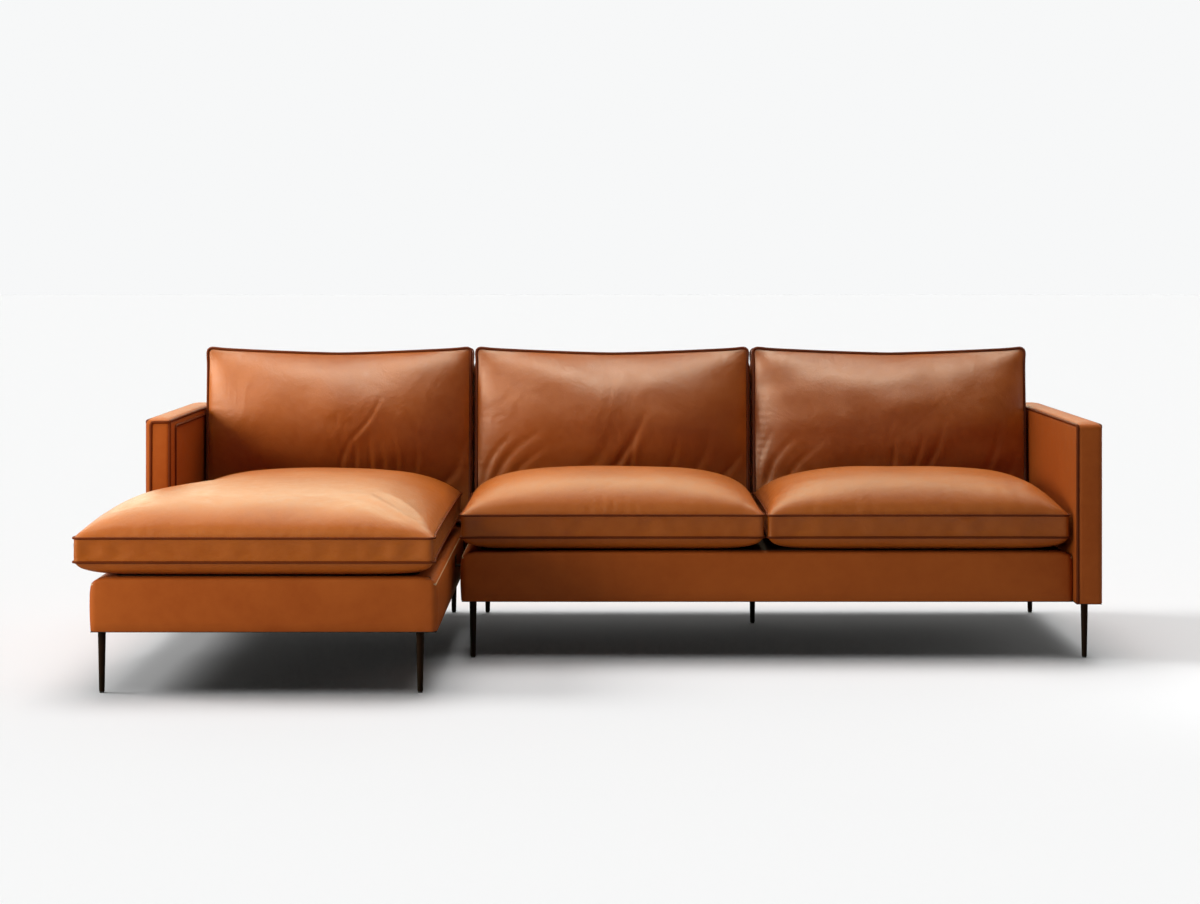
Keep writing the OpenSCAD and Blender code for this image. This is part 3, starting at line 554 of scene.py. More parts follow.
def cushionMesh(spec):
    # top panel, border and bottom panel in local u, v, w, with the seam loops' indices
    plan = Plan(spec["u"], spec["v"], spec["step"], spec["corner"], spec.get("notch"))
    topRise = membrane(plan.inner, spec["step"], spec["firm"]) ** spec["fullness"]
    lowRise = membrane(plan.inner, spec["step"], spec["lowFirm"]) ** 0.5
    lowRise = np.minimum(1.0, lowRise * spec["lowFlat"])
    grid = plan.grid.copy()
    spec["pull"](grid, spec)
    order = -np.ones(plan.inner.shape, int)
    keep = plan.inner.copy()
    for i, j in plan.loop:
        keep[i, j] = True
    order[keep] = np.arange(keep.sum())
    n = int(keep.sum())
    lowW, highW = spec["under"], spec["under"] + spec["box"]
    uv = grid[keep]
    crown = spec["crown"] * topRise[keep] * spec["lean"](uv[:, 0], uv[:, 1], spec)
    top = np.column_stack([uv, highW + crown])
    low = np.column_stack([uv, lowW - spec["under"] * lowRise[keep]])
    faces = []
    for i, j in zip(*np.nonzero(plan.cells)):
        a, b, c, d = order[i, j], order[i + 1, j], order[i + 1, j + 1], order[i, j + 1]
        faces.append((a, b, c, d))
        faces.append((n + d, n + c, n + b, n + a))
    seamTop = np.array([order[i, j] for i, j in plan.loop])
    seamLow = seamTop + n
    ring = top[seamTop][:, :2]
    ahead = np.roll(ring, -1, 0) - np.roll(ring, 1, 0)
    normal = np.column_stack([ahead[:, 1], -ahead[:, 0]])
    normal /= np.linalg.norm(normal, axis=1)[:, None]
    height = shares(ring[:, 0], ring[:, 1], spec)[1]
    side = (spec["sideBelly"] * np.abs(normal[:, 0]) ** 4
            * smooth((1 - height) / 0.14) * smooth(height / 0.1))
    rows = max(2, round(spec["box"] / spec["step"]))
    loops, extra, base = [seamLow], [], 2 * n
    for r in range(1, rows):
        t = r / rows
        out = (spec["belly"] + side) * math.sin(math.pi * t ** spec["bellyPeak"]) ** 0.8
        edge = np.column_stack([ring + normal * out[:, None],
                                np.full(len(ring), lowW + (highW - lowW) * t)])
        extra.append(edge)
        loops.append(np.arange(base, base + len(ring)))
        base += len(ring)
    loops.append(seamTop)
    for lower, upper in zip(loops, loops[1:]):
        for k in range(len(ring)):
            m = (k + 1) % len(ring)
            faces.append((lower[k], lower[m], upper[m], upper[k]))
    points = np.vstack([top, low] + extra)
    return points, faces, seamTop, seamLow, normal


def axesOf(spec):
    return np.array([spec["across"], spec["along"], spec["out"]], float)


def toFrame(points, spec):
    return points @ axesOf(spec) + np.array(spec["origin"], float)


def toLocal(points, spec):
    return (points - np.array(spec["origin"], float)) @ axesOf(spec).T


def readVectors(items, name):
    found = np.zeros(len(items) * 3)
    items.foreach_get(name, found)
    return found.reshape(-1, 3)


def wave(seed, u, scale):
    # an even sum of sines with fixed phases, between about -1 and 1
    rng = np.random.default_rng(seed)
    total = np.zeros_like(u)
    for k in range(5):
        total += math.sin(1 + k) * np.sin(u * scale * rng.uniform(0.6, 1.7)
                                          + rng.uniform(0, 2 * math.pi))
    return total / 2.2


def foldDepth(u, v, fold):
    # a narrow valley with a soft ridge along one side, on a bent line
    (au, av), (bu, bv), bend, width, depth = fold
    du, dv = bu - au, bv - av
    length = math.hypot(du, dv)
    t = ((u - au) * du + (v - av) * dv) / length ** 2
    side = ((u - au) * dv - (v - av) * du) / length
    side = side - bend * length * np.sin(np.pi * np.clip(t, 0, 1))
    beyond = np.maximum(0, np.maximum(-t, t - 1)) * length
    taper = np.clip(0.25 + 1.1 * (1 - t), 0, 1) * np.exp(-(beyond / (1.5 * width)) ** 2)
    valley = np.exp(-(side / width) ** 2)
    ridge = np.exp(-((side - 1.7 * width) / (1.5 * width)) ** 2)
    return depth * taper * (0.45 * ridge - 0.9 * valley)


fullTurn = 6.28  # in radians, near enough


def unevenness(seed, u, v, length):
    # soft hollows and swellings, between about -1 and 1
    rng = np.random.default_rng(seed)
    total = np.zeros_like(u)
    for _ in range(9):
        turn, phase = rng.uniform(0, math.pi), rng.uniform(0, fullTurn)
        far = length * rng.uniform(0.7, 1.8)
        along = u * math.cos(turn) * 0.7 + v * math.sin(turn)
        across = v * math.cos(turn) - u * math.sin(turn) * 0.7
        total += np.sin(fullTurn * along / far + phase
                        + 1.3 * np.sin(fullTurn * across / (far * 1.9)))
    return total / 4


clothSettings = {
    "quality": 7, "mass": 0.3, "tension_damping": 25, "compression_damping": 25,
    "shear_damping": 25, "air_damping": 2, "use_pressure": True, "pin_stiffness": 1,
    "vertex_group_mass": "seams", "vertex_group_shrink": "slack", "shrink_min": 0.0,
}
shearShare = 0.4  # of the leather's stiffness
seamFade = 0.004  # how far from the seams the swelling begins


def inflate(piece, spec, pinned):
    # pressure swells the cover between its seams; nothing moves further than the cap
    start = readVectors(piece.data.vertices, "co")
    local = toLocal(start, spec)
    seams = piece.vertex_groups.new(name="seams")
    seams.add([int(i) for i in pinned], 1.0, "REPLACE")
    slack = piece.vertex_groups.new(name="slack")
    for i, share in enumerate(spec["slackShare"](local, spec)):
        if share > 0.01:
            slack.add([i], float(share), "REPLACE")
    cloth = piece.modifiers.new("swell", "CLOTH")
    for key, value in clothSettings.items():
        setattr(cloth.settings, key, value)
    cloth.settings.tension_stiffness = spec["stiff"]
    cloth.settings.compression_stiffness = spec["stiff"]
    cloth.settings.shear_stiffness = spec["stiff"] * shearShare
    cloth.settings.bending_stiffness = spec["bend"]
    cloth.settings.uniform_pressure_force = spec["pressure"]
    cloth.settings.shrink_max = -spec["slackness"]
    cloth.settings.effector_weights.gravity = 0
    cloth.collision_settings.use_collision = False
    cloth.collision_settings.use_self_collision = False
    cloth.point_cache.frame_start = 1
    cloth.point_cache.frame_end = spec["frames"]
    for step in range(1, spec["frames"] + 1):
        scene.frame_set(step)
    settled = piece.evaluated_get(bpy.context.evaluated_depsgraph_get()).to_mesh()
    moved = readVectors(settled.vertices, "co") - start
    # only the top panel keeps what it gained
    moved *= smooth((local[:, 2] - spec["under"] - spec["box"]) / seamFade)[:, None]
    piece.modifiers.clear()
    scene.frame_set(1)
    far = np.linalg.norm(moved, axis=1)
    moved *= np.minimum(1.0, spec["cap"] / np.maximum(far, 1e-9))[:, None]
    piece.data.vertices.foreach_set("co", (start + moved).ravel())
    piece.data.update()
    piece.vertex_groups.clear()
    print("  ", piece.name, "swelled by", round(float(far.max()) * 1000, 1), "mm at most")


def refine(piece, seams):
    # one subdivision, with the seams kept crisp
    mesh = piece.data
    onSeam = {(min(a, b), max(a, b)) for seam in seams for a, b in zip(seam, np.roll(seam, -1))}
    crease = mesh.attributes.new("crease_edge", "FLOAT", "EDGE")
    crease.data.foreach_set("value", [
        1.0 if tuple(sorted(e.vertices)) in onSeam else 0.0 for e in mesh.edges])
    finer = piece.modifiers.new("finer", "SUBSURF")
    finer.levels = finer.render_levels = 1
    evaluated = piece.evaluated_get(bpy.context.evaluated_depsgraph_get())
    result = bpy.data.meshes.new_from_object(evaluated)
    piece.modifiers.clear()
    piece.data = result
    bpy.data.meshes.remove(mesh)
    result.name = piece.name
    found = result.attributes.get("crease_edge")
    if found:
        result.attributes.remove(found)
    result.shade_smooth()


def creaseSurface(piece, spec):
    mesh = piece.data
    co = readVectors(mesh.vertices, "co")
    normal = readVectors(mesh.vertex_normals, "vector")
    u, v, w = toLocal(co, spec).T
    high = spec["under"] + spec["box"]
    panel = smooth((w - high - 0.001) / 0.012)
    shift = spec["uneven"] * panel * unevenness(spec["seed"], u, v, spec["unevenSize"])
    for fold in spec["folds"]:
        shift += foldDepth(u, v, fold) * panel
    # puckers run in from the seams
    span = spec["u"][-1], spec["v"][-1]
    toSideU = np.minimum(u - spec["u"][0], span[0] - u)
    toSideV = np.minimum(v - spec["v"][0], span[1] - v)
    near = np.minimum(toSideU, toSideV)
    run = np.where(toSideU < toSideV, v, u)
    fade = np.exp(-near / spec["puckerReach"]) * panel
    shift += spec["pucker"] * fade * wave(spec["seed"], run, 2 * math.pi / spec["puckerSize"])
    border = smooth((w - spec["under"] - 0.006) / 0.012) * smooth((high - 0.006 - w) / 0.012)
    shift += spec["boxWaves"] * border * wave(spec["seed"] + 7, run, 2 * math.pi / 0.11)
    co += normal * shift[:, None]
    mesh.vertices.foreach_set("co", co.ravel())
    mesh.update()


def drawCorners(grid, spec):
    # the corners stand out a little, as sewn corners do
    for cu in (spec["u"][0], spec["u"][-1]):
        for cv in (spec["v"][0], spec["v"][-1]):
            if "notch" in spec and cu == spec["u"][0] and cv == spec["v"][-1]:
                continue
            du, dv = grid[..., 0] - cu, grid[..., 1] - cv
            near = spec["ear"] * np.exp(-(du ** 2 + dv ** 2) / spec["earReach"] ** 2)
            grid[..., 0] += near * (1 if cu > 0 else -1)
            grid[..., 1] += near * (1 if cv > 0 else -1)


def straightPull(grid, spec):
    u, v = grid[..., 0].copy(), grid[..., 1].copy()
    s, t = shares(u, v, spec)
    grid[..., 0] = u + spec["pullIn"] * 4 * t * (1 - t) * (1 - 2 * s)
    if "notch" not in spec:
        grid[..., 1] = v + spec["pullIn"] * 4 * s * (1 - s) * (1 - 2 * t)
    drawCorners(grid, spec)


def backPull(grid, spec):
    # the top edge dips between its corners, the sides pull in
    u, v = grid[..., 0].copy(), grid[..., 1].copy()
    s, t = shares(u, v, spec)
    grid[..., 0] = u + spec["pullIn"] * 4 * t * (1 - t) * (1 - 2 * s)
    grid[..., 1] = v - spec["dip"] * (1 - np.abs(2 * s - 1) ** 1.35) * t ** 2
    drawCorners(grid, spec)


def evenLean(u, v, spec):
    return np.ones_like(u)


def lowBelly(u, v, spec):
    # thinner where it stands behind the seat, fullest above the middle
    return 0.28 + 0.72 * smooth(shares(u, v, spec)[1] / 0.62)


def noSlack(local, spec):
    return np.zeros(len(local))


def lowSlack(local, spec):
    # spare leather in the lower half of a back cushion's front
    u, v, w = local.T
    front = w > spec["under"] + spec["box"] + 0.002
    return np.where(front, np.clip(1.1 - 1.6 * shares(u, v, spec)[1], 0.05, 1.0), 0.0)


cushionPipeStep, framePipeStep = 0.007, 0.008


def makeCushion(name, spec, body, replaced):
    points, faces, seamTop, seamLow, normal = cushionMesh(spec)
    piece = makePiece(name, toFrame(points, spec), faces, "leather", body)
    flat = np.nonzero(points[:, 2] < 0.002)[0]
    inflate(piece, spec, set(seamTop) | set(seamLow) | set(flat))
    refine(piece, (seamTop, seamLow))
    creaseSurface(piece, spec)
    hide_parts(*replaced[:2])
    co = readVectors(piece.data.vertices, "co")
    out = normal @ axesOf(spec)[:2] * spec["pipeOut"]
    tubes = [tubeMesh(resample(co[seam] + out, cushionPipeStep, True), spec["pipeRadius"], True)
             for seam in (seamTop, seamLow)]
    pipePoints, pipeFaces = joinMeshes(tubes)
    pipe = makePiece(name + "Piping", pipePoints, pipeFaces, "piping_leather", body)
    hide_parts(replaced[2])


def makeCushions(rows):
    for name, spec, label in rows:
        makeCushion(name, spec, label + "_cushion",
                    (label + "_cover", label + "_core", label + "_welt"))


upright = {"across": (1, 0, 0), "along": (0, 1, 0), "out": (0, 0, 1)}
seatShape = dict(
    upright, step=0.010, corner=0.018, under=0.041, box=0.060, crown=0.102, firm=9.0,
    fullness=0.62, lowFirm=24.0, lowFlat=1.08, belly=-0.002, sideBelly=0.0, bellyPeak=1.0,
    pullIn=0.003, ear=0.005, earReach=0.035, pull=straightPull, lean=evenLean,
    slackShare=noSlack, slackness=0.0, stiff=30, bend=12.0, pressure=2, frames=16,
    cap=0.0025, folds=(), pucker=0.0004, puckerReach=0.03, puckerSize=0.05,
    boxWaves=0.0016, fill=0.9, uneven=0.0008, unevenSize=0.16, pipeOut=0.0014,
    pipeRadius=0.0030)


def placeSeat(cover):
    low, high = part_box(cover)
    return {"origin": tuple(low), "u": (0.0, high.x - low.x), "v": (0.0, high.y - low.y)}


armGap = 0.0142  # between the chaise cushion's notch and the arm


def placeNotch(cover, arm):
    low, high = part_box(cover)
    armLow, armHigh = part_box(arm)
    notch = (armHigh.x + armGap - low.x, armLow.y - armGap - low.y)
    return {"origin": tuple(low), "u": (0.0, notch[0], high.x - low.x),
            "v": (0.0, notch[1], high.y - low.y), "notch": notch}


chaiseCushion = dict(seatShape, **placeNotch("chaise_seat_cover", "left_arm_cover"), seed=3)
middleCushion = dict(seatShape, **placeSeat("middle_seat_cover"), seed=4)
middleCushion["u"] = (-0.005, middleCushion["u"][1])
rightCushion = dict(seatShape, **placeSeat("right_seat_cover"), seed=5)
rightCushion.update(pucker=0.0007, puckerReach=0.05, puckerSize=0.06)

makeCushions((("chaiseSeatCushion", chaiseCushion, "chaise_seat"),
              ("middleSeatCushion", middleCushion, "middle_seat"),
              ("rightSeatCushion", rightCushion, "right_seat")))
print("seat cushions made")

backLean = math.radians(4)
backShape = dict(
    across=(1, 0, 0), along=(0, math.sin(backLean), math.cos(backLean)),
    out=(0, -math.cos(backLean), math.sin(backLean)), step=0.010, corner=0.011, under=0.014,
    box=0.100, crown=0.094, firm=3.0, fullness=0.74, lowFirm=20.0, lowFlat=1.1, belly=0.002,
    sideBelly=0.0096, bellyPeak=0.625, ear=0.003, earReach=0.03, pullIn=0.0, dip=0.016,
    pull=backPull, lean=lowBelly, slackShare=lowSlack, slackness=0.03, stiff=20, bend=0.6,
    pressure=3, frames=16, cap=0.014, folds=(), pucker=0.0005, puckerReach=0.025,
    puckerSize=0.034, boxWaves=0.001, fill=0.75, uneven=0.0021, unevenSize=0.14,
    pipeOut=0.0012, pipeRadius=0.0043)
backFoot = {"rear": 0.54878, "height": 0.297, "tall": 0.514}


def placeBack(cover):
    low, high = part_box(cover)
    return {"origin": (low.x, backFoot["rear"], backFoot["height"]),
            "u": (0.0, high.x - low.x), "v": (0.0, backFoot["tall"])}


# each fold: where it starts, where it ends, its bend, its width and its depth
leftBack = dict(
    backShape, **placeBack("left_back_cover"), seed=11,
    folds=(((0.449, 0.250), (0.530, 0.372), 0.05, 0.0065, 0.0022),
           ((0.405, 0.150), (0.449, 0.262), -0.06, 0.008, 0.0028),
           ((0.447, 0.140), (0.450, 0.235), 0.03, 0.007, 0.0028),
           ((0.492, 0.130), (0.492, 0.245), 0.03, 0.007, 0.0028),
           ((0.532, 0.120), (0.524, 0.232), 0.04, 0.008, 0.0022),
           ((0.572, 0.130), (0.566, 0.238), 0.03, 0.007, 0.0020),
           ((0.628, 0.150), (0.632, 0.240), 0.03, 0.008, 0.0016),
           ((0.360, 0.290), (0.520, 0.330), 0.10, 0.030, 0.0022),
           ((0.700, 0.100), (0.774, 0.230), 0.10, 0.012, 0.0030)))
middleBack = dict(
    backShape, **placeBack("middle_back_cover"), seed=12, bellyPeak=1.6,
    folds=(((0.404, 0.150), (0.502, 0.317), 0.04, 0.011, 0.0040),
           ((0.449, 0.140), (0.470, 0.255), 0.04, 0.008, 0.0028),
           ((0.330, 0.150), (0.420, 0.290), 0.05, 0.018, 0.0022),
           ((0.020, 0.120), (0.096, 0.250), -0.08, 0.010, 0.0036),
           ((0.050, 0.110), (0.188, 0.265), -0.10, 0.012, 0.0034),
           ((0.090, 0.100), (0.210, 0.220), -0.08, 0.010, 0.0024),
           ((0.560, 0.130), (0.600, 0.250), 0.05, 0.010, 0.0020),
           ((0.640, 0.130), (0.700, 0.270), 0.06, 0.012, 0.0022),
           ((0.720, 0.120), (0.800, 0.220), 0.06, 0.010, 0.0030)))
rightBack = dict(
    backShape, **placeBack("right_back_cover"), seed=13,
    folds=(((0.006, 0.110), (0.045, 0.262), -0.06, 0.009, 0.0034),
           ((0.032, 0.110), (0.120, 0.252), -0.09, 0.011, 0.0036),
           ((0.080, 0.090), (0.190, 0.230), -0.08, 0.010, 0.0026),
           ((0.402, 0.130), (0.407, 0.245), 0.03, 0.008, 0.0022),
           ((0.450, 0.130), (0.494, 0.255), 0.05, 0.009, 0.0026),
           ((0.490, 0.130), (0.560, 0.292), 0.05, 0.010, 0.0030),
           ((0.680, 0.130), (0.732, 0.310), 0.05, 0.011, 0.0026),
           ((0.730, 0.100), (0.790, 0.210), 0.05, 0.010, 0.0026)))
makeCushions((("leftBackCushion", leftBack, "left_back"),
              ("middleBackCushion", middleBack, "middle_back"),
              ("rightBackCushion", rightBack, "right_back")))
print("back cushions made")


def edgeLines(low, high, radius, step):
    inner = spread([low + radius, high - radius], step)
    bend = [0.0, 0.12, 0.3, 0.55, 0.8]
    return np.concatenate([[low + radius * b for b in bend], inner,
                           [high - radius * b for b in reversed(bend)]])


def boxSkin(lines):
    # points and outward quads of a box built from three rows of grid lines
    found, points, faces = {}, [], []

    def at(place):
        if place not in found:
            found[place] = len(points)
            points.append([lines[axis][k] for axis, k in enumerate(place)])
        return found[place]

    cuts = [len(row) - 1 for row in lines]
    for a, b, c, lowTurns in ((0, 1, 2, True), (0, 2, 1, False), (1, 2, 0, True)):
        for i in range(cuts[a]):
            for j in range(cuts[b]):
                for level, turns in ((0, lowTurns), (cuts[c], not lowTurns)):
                    ring = []
                    for p, q in ((i, j), (i + 1, j), (i + 1, j + 1), (i, j + 1)):
                        place = [level] * 3
                        place[a], place[b] = p, q
                        ring.append(tuple(place))
                    if turns:
                        ring[1], ring[3] = ring[3], ring[1]
                    faces.append(tuple(at(place) for place in ring))
    return np.array(points), faces


def plateau(t):
    return 1 - np.abs(2 * np.clip(t, 0, 1) - 1) ** 3


lowEdge = 0.15  # the covers are pulled tight round their lower edges


def makeCovered(name, spec, body, replaced):
    # an upholstered box: rounded edges, faces that swell a little, a crowned top
    low, high = np.array(spec["low"]), np.array(spec["high"])
    r = spec["round"]
    points, faces = boxSkin([edgeLines(low[i], high[i], r, spec["step"]) for i in range(3)])
    s = (points - low) / (high - low)
    core = np.clip(points, low + r, high - r)
    away = points - core
    far = np.linalg.norm(away, axis=1)
    outside = far > 1e-9
    points[outside] = core[outside] + away[outside] / far[outside][:, None] * r
    under = points[:, 2] < low[2] + r + 1e-9
    points[under, 2] = low[2] + (points[under, 2] - low[2]) * lowEdge
    for axis in range(3):
        others = [k for k in range(3) if k != axis]
        face = np.clip(2 * s[:, axis] - 1, -1, 1)
        push = spec["swell"][axis] * np.sign(face) * np.abs(face) ** 8
        points[:, axis] += push * plateau(s[:, others[0]]) * plateau(s[:, others[1]])
    across, run, ends = spec["acrossAxis"], 1 - spec["acrossAxis"], spec["crownEnds"]
    onTop = smooth((s[:, 2] - 0.9) / 0.1) ** 2
    fade = (smooth((points[:, run] - low[run]) / ends)
            * smooth((high[run] - points[:, run]) / ends))
    arch = np.clip(1 - (2 * s[:, across] - 1) ** 2, 0, 1) ** 0.75
    points[:, 2] += spec["crown"] * arch * fade * onTop
    piece = makePiece(name, points, faces, "frame", body)
    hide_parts(*replaced)


def makePiping(name, paths, radius, body, replaced):
    tubes = [tubeMesh(resample(path, framePipeStep, False), radius, False) for path in paths]
    points, faces = joinMeshes(tubes)
    pipe = makePiece(name, points, faces, "piping_leather", body)
    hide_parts(*replaced)


def roundedPath(corners, radius, steps=5):
    # an open path whose inner corners are rounded
    corners = [np.array(c, float) for c in corners]
    path = [corners[0]]
    for a, b, c in zip(corners, corners[1:], corners[2:]):
        start, end = b + unit(a - b) * radius, b + unit(c - b) * radius
        for k in range(steps + 1):
            t = k / steps
            path.append((1 - t) ** 2 * start + 2 * t * (1 - t) * b + t ** 2 * end)
    path.append(corners[-1])
    return path


armShape = {"round": 0.013, "step": 0.016, "swell": (0.0015, 0.0025, 0.0), "crown": 0.007,
            "acrossAxis": 0, "crownEnds": 0.04, "seamHeight": 0.640, "pipe": 0.0042,
            "facing": 0.0165, "bandDepth": 0.066, "bandDrop": 0.018,
            "bends": (0.006, 0.008, 0.012),  # of the three bent lines of piping
            # where the outer piping sinks in at the front: inward, back and down
            "tuck": ((0.007, 0.009, 0.018), (0.002, 0.006, 0.008), (0.0, 0.014, 0.001),
                     (0.0, 0.024, 0.0))}


def makeArm(name, cover, body, replaced, welt, foot, seat, faced):
    # foot is where the front piping ends; seat is the side that meets the cushions, 1 or -1;
    # a faced arm has a facing at the front and a band behind it
    low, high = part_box(cover)
    spec = dict(armShape, low=tuple(low), high=(high.x, high.y, armShape["seamHeight"]))
    makeCovered(name, spec, body, replaced)
    pipe = spec["pipe"]
    inset = spec["round"] * (1 - math.sqrt(0.5)) - pipe * 0.3
    inner, outer = (high.x, low.x) if seat > 0 else (low.x, high.x)
    xi, xo = inner - seat * inset, outer + seat * inset
    front, rear = low.y + inset, high.y - inset
    top = spec["seamHeight"] - inset
    paths = [roundedPath([(xi, front, foot), (xi, front, top), (xi, rear, top)],
                         spec["bends"][0]),
             [(xo + seat * a, front + b, top - c) for a, b, c in spec["tuck"]]
             + [(xo, rear, top)]]
    if faced:
        xf, face = outer + seat * spec["facing"], low.y - pipe * 0.3
        xs, band = inner + seat * pipe * 0.2, low.y + spec["bandDepth"]
        below = top - spec["bandDrop"]
        paths.append(roundedPath([(xf, face, foot), (xf, face, top - 0.002),
                                  (xi, face, top - 0.002)], spec["bends"][1]))
        paths.append(roundedPath([(xs, band, foot), (xs, band, below), (xs, rear, below)],
                                 spec["bends"][2]))
    makePiping(name + "Piping", paths, pipe, body, (welt,))


makeArm("rightArm", "right_arm_cover", "seat_unit", ("right_arm_cover", "right_arm_foam"),
        "right_arm_welt", 0.157, -1, False)
makeArm("leftArm", "left_arm_cover", "chaise_unit", ("left_arm_cover", "left_arm_foam"),
        "left_arm_welt", 0.291, 1, True)
print("arms made")

baseShape = {"round": 0.010, "plan": 0.018, "step": 0.02, "swell": 0.0025,
             "shoulder": (0.014, 0.035)}
deckShape = {"round": 0.003, "plan": 0.03, "step": 0.03, "swell": 0.0, "inset": 0.05,
             "thick": 0.007, "rise": 0.0003}


def outline(corners, radius, step):
    # points and outward normals around a plan with rounded corners, anticlockwise
    corners = [np.array(c, float) for c in corners]
    points, normals = [], []
    for a, b, c in zip([corners[-1]] + corners, corners, corners[1:] + corners[:1]):
        before, after = unit(b - a), unit(c - b)
        turn = before[0] * after[1] - before[1] * after[0]
        inward = np.array([-before[1], before[0]]) * turn
        centre = b - before * radius + inward * radius
        for k in range(7):
            angle = turn * k / 6 * math.pi / 2
            n = -inward * turn
            n = np.array([n[0] * math.cos(angle) - n[1] * math.sin(angle),
                          n[0] * math.sin(angle) + n[1] * math.cos(angle)])
            points.append(centre + n * turn * radius)
            normals.append(n)
    path, sides = [], []
    for k, point in enumerate(points):
        after = points[(k + 1) % len(points)]
        cuts = max(1, round(np.linalg.norm(after - point) / step))
        for m in range(cuts):
            path.append(point + (after - point) * m / cuts)
            sides.append(normals[k])
    return np.array(path), np.array(sides)


def makeSlab(name, corners, low, high, look, finish, body, replaced):
    # an upholstered slab over a plan: rounded edges, walls that swell a little
    path, normals = outline(corners, look["plan"], look["step"])
    r, rows = look["round"], max(1, round((high - low) / look["step"]))
    bend = [(r * (1 - math.sin(a)), r * (1 - math.cos(a)))
            for a in np.linspace(0, math.pi / 2, 6)]
    levels = [(4 * r, low)] + [(i, low + z * lowEdge) for i, z in bend]
    for k in range(1, rows):
        t = k / rows
        levels.append((-look["swell"] * math.sin(math.pi * t) ** 0.6,
                       low + r + (high - low - 2 * r) * t))
    levels += [(i, high - z) for i, z in reversed(bend)] + [(4 * r, high)]
    count = len(path)
    points = np.vstack([np.column_stack([path - normals * i, np.full(count, z)])
                        for i, z in levels])
    drop, reach = look.get("shoulder", (0.0, 1.0))
    toEnd = np.minimum(points[:, 0] - path[:, 0].min(), path[:, 0].max() - points[:, 0])
    points[:, 2] -= (drop * np.clip(1 - toEnd / reach, 0, 1) ** 2
                     * smooth((points[:, 2] - high + 0.06) / 0.06))
    faces = [tuple(range(count - 1, -1, -1))]
    for level in range(len(levels) - 1):
        a, b = level * count, (level + 1) * count
        for k in range(count):
            m = (k + 1) % count
            faces.append((a + k, a + m, b + m, b + k))
    faces.append(tuple((len(levels) - 1) * count + k for k in range(count)))
    piece = makePiece(name, points, faces, finish, body)
    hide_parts(*replaced)


def boxPlan(low, high):
    return [(low.x, low.y), (high.x, low.y), (high.x, high.y), (low.x, high.y)]


def stepPlan(low, high, notch):
    return [(low.x, low.y), (high.x, low.y), (high.x, high.y), (notch[0], high.y),
            (notch[0], notch[1]), (low.x, notch[1])]


def drawIn(corners, inset):
    # move each edge of a plan in by the same distance
    moved = []
    count = len(corners)
    for k in range(count):
        a, b, c = (np.array(corners[(k + d) % count], float) for d in (-1, 0, 1))
        before, after = unit(b - a), unit(c - b)
        moved.append(tuple(b + inset * (np.array([-before[1], before[0]])
                                        + np.array([-after[1], after[0]]))))
    return moved


armLow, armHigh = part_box("left_arm_cover")
for name, cover, pad, body in (
        ("seatBase", "seat_base_cover", "seat_deck_pad", "seat_unit"),
        ("chaiseBase", "chaise_base_cover", "chaise_deck_pad", "chaise_unit")):
    low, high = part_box(cover)
    plan = boxPlan(low, high) if name == "seatBase" else stepPlan(
        low, high, (armHigh.x, armLow.y))
    makeSlab(name, plan, low.z, high.z, baseShape, "frame", body, (cover,))
    top = high.z + deckShape["rise"]
    makeSlab(name + "Deck", drawIn(plan, deckShape["inset"]), top - deckShape["thick"], top,
             deckShape, "deck", body, (pad,))
print("bases made")

backFrameShape = {"round": 0.012, "step": 0.02, "swell": (0.0, 0.003, 0.0), "crown": 0.004,
                  "acrossAxis": 1, "crownEnds": 0.05}
for name, cover, foam, body in (
        ("seatBack", "seat_back_cover", "seat_back_foam", "seat_unit"),
        ("chaiseBack", "chaise_back_cover", "chaise_back_foam", "chaise_unit")):
    low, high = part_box(cover)
    if name == "seatBack":
        low.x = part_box("chaise_back_cover")[1].x + 0.003  # no light between the two units
    makeCovered(name, dict(backFrameShape, low=tuple(low), high=tuple(high)), body,
                (cover, foam))
print("backs made")

# the nodes that stay as they are get their finish
slotOf = {m["node"]: m["material_slot"] for m in frame["record"]["subparts"]}
for label, cadNode in nodes.items():
    finish = finishes["frame" if slotOf[label] == "leather" else slotOf[label]]
    # the connectors take the dark leg finish instead of their own steel, so the gap between the
    # units reads dark: painted shade
    if label.startswith("connector"):
        finish = finishes["leg_steel"]
    cadNode.data.materials.clear()
    cadNode.data.materials.append(finish)
print("carried-over nodes finished")

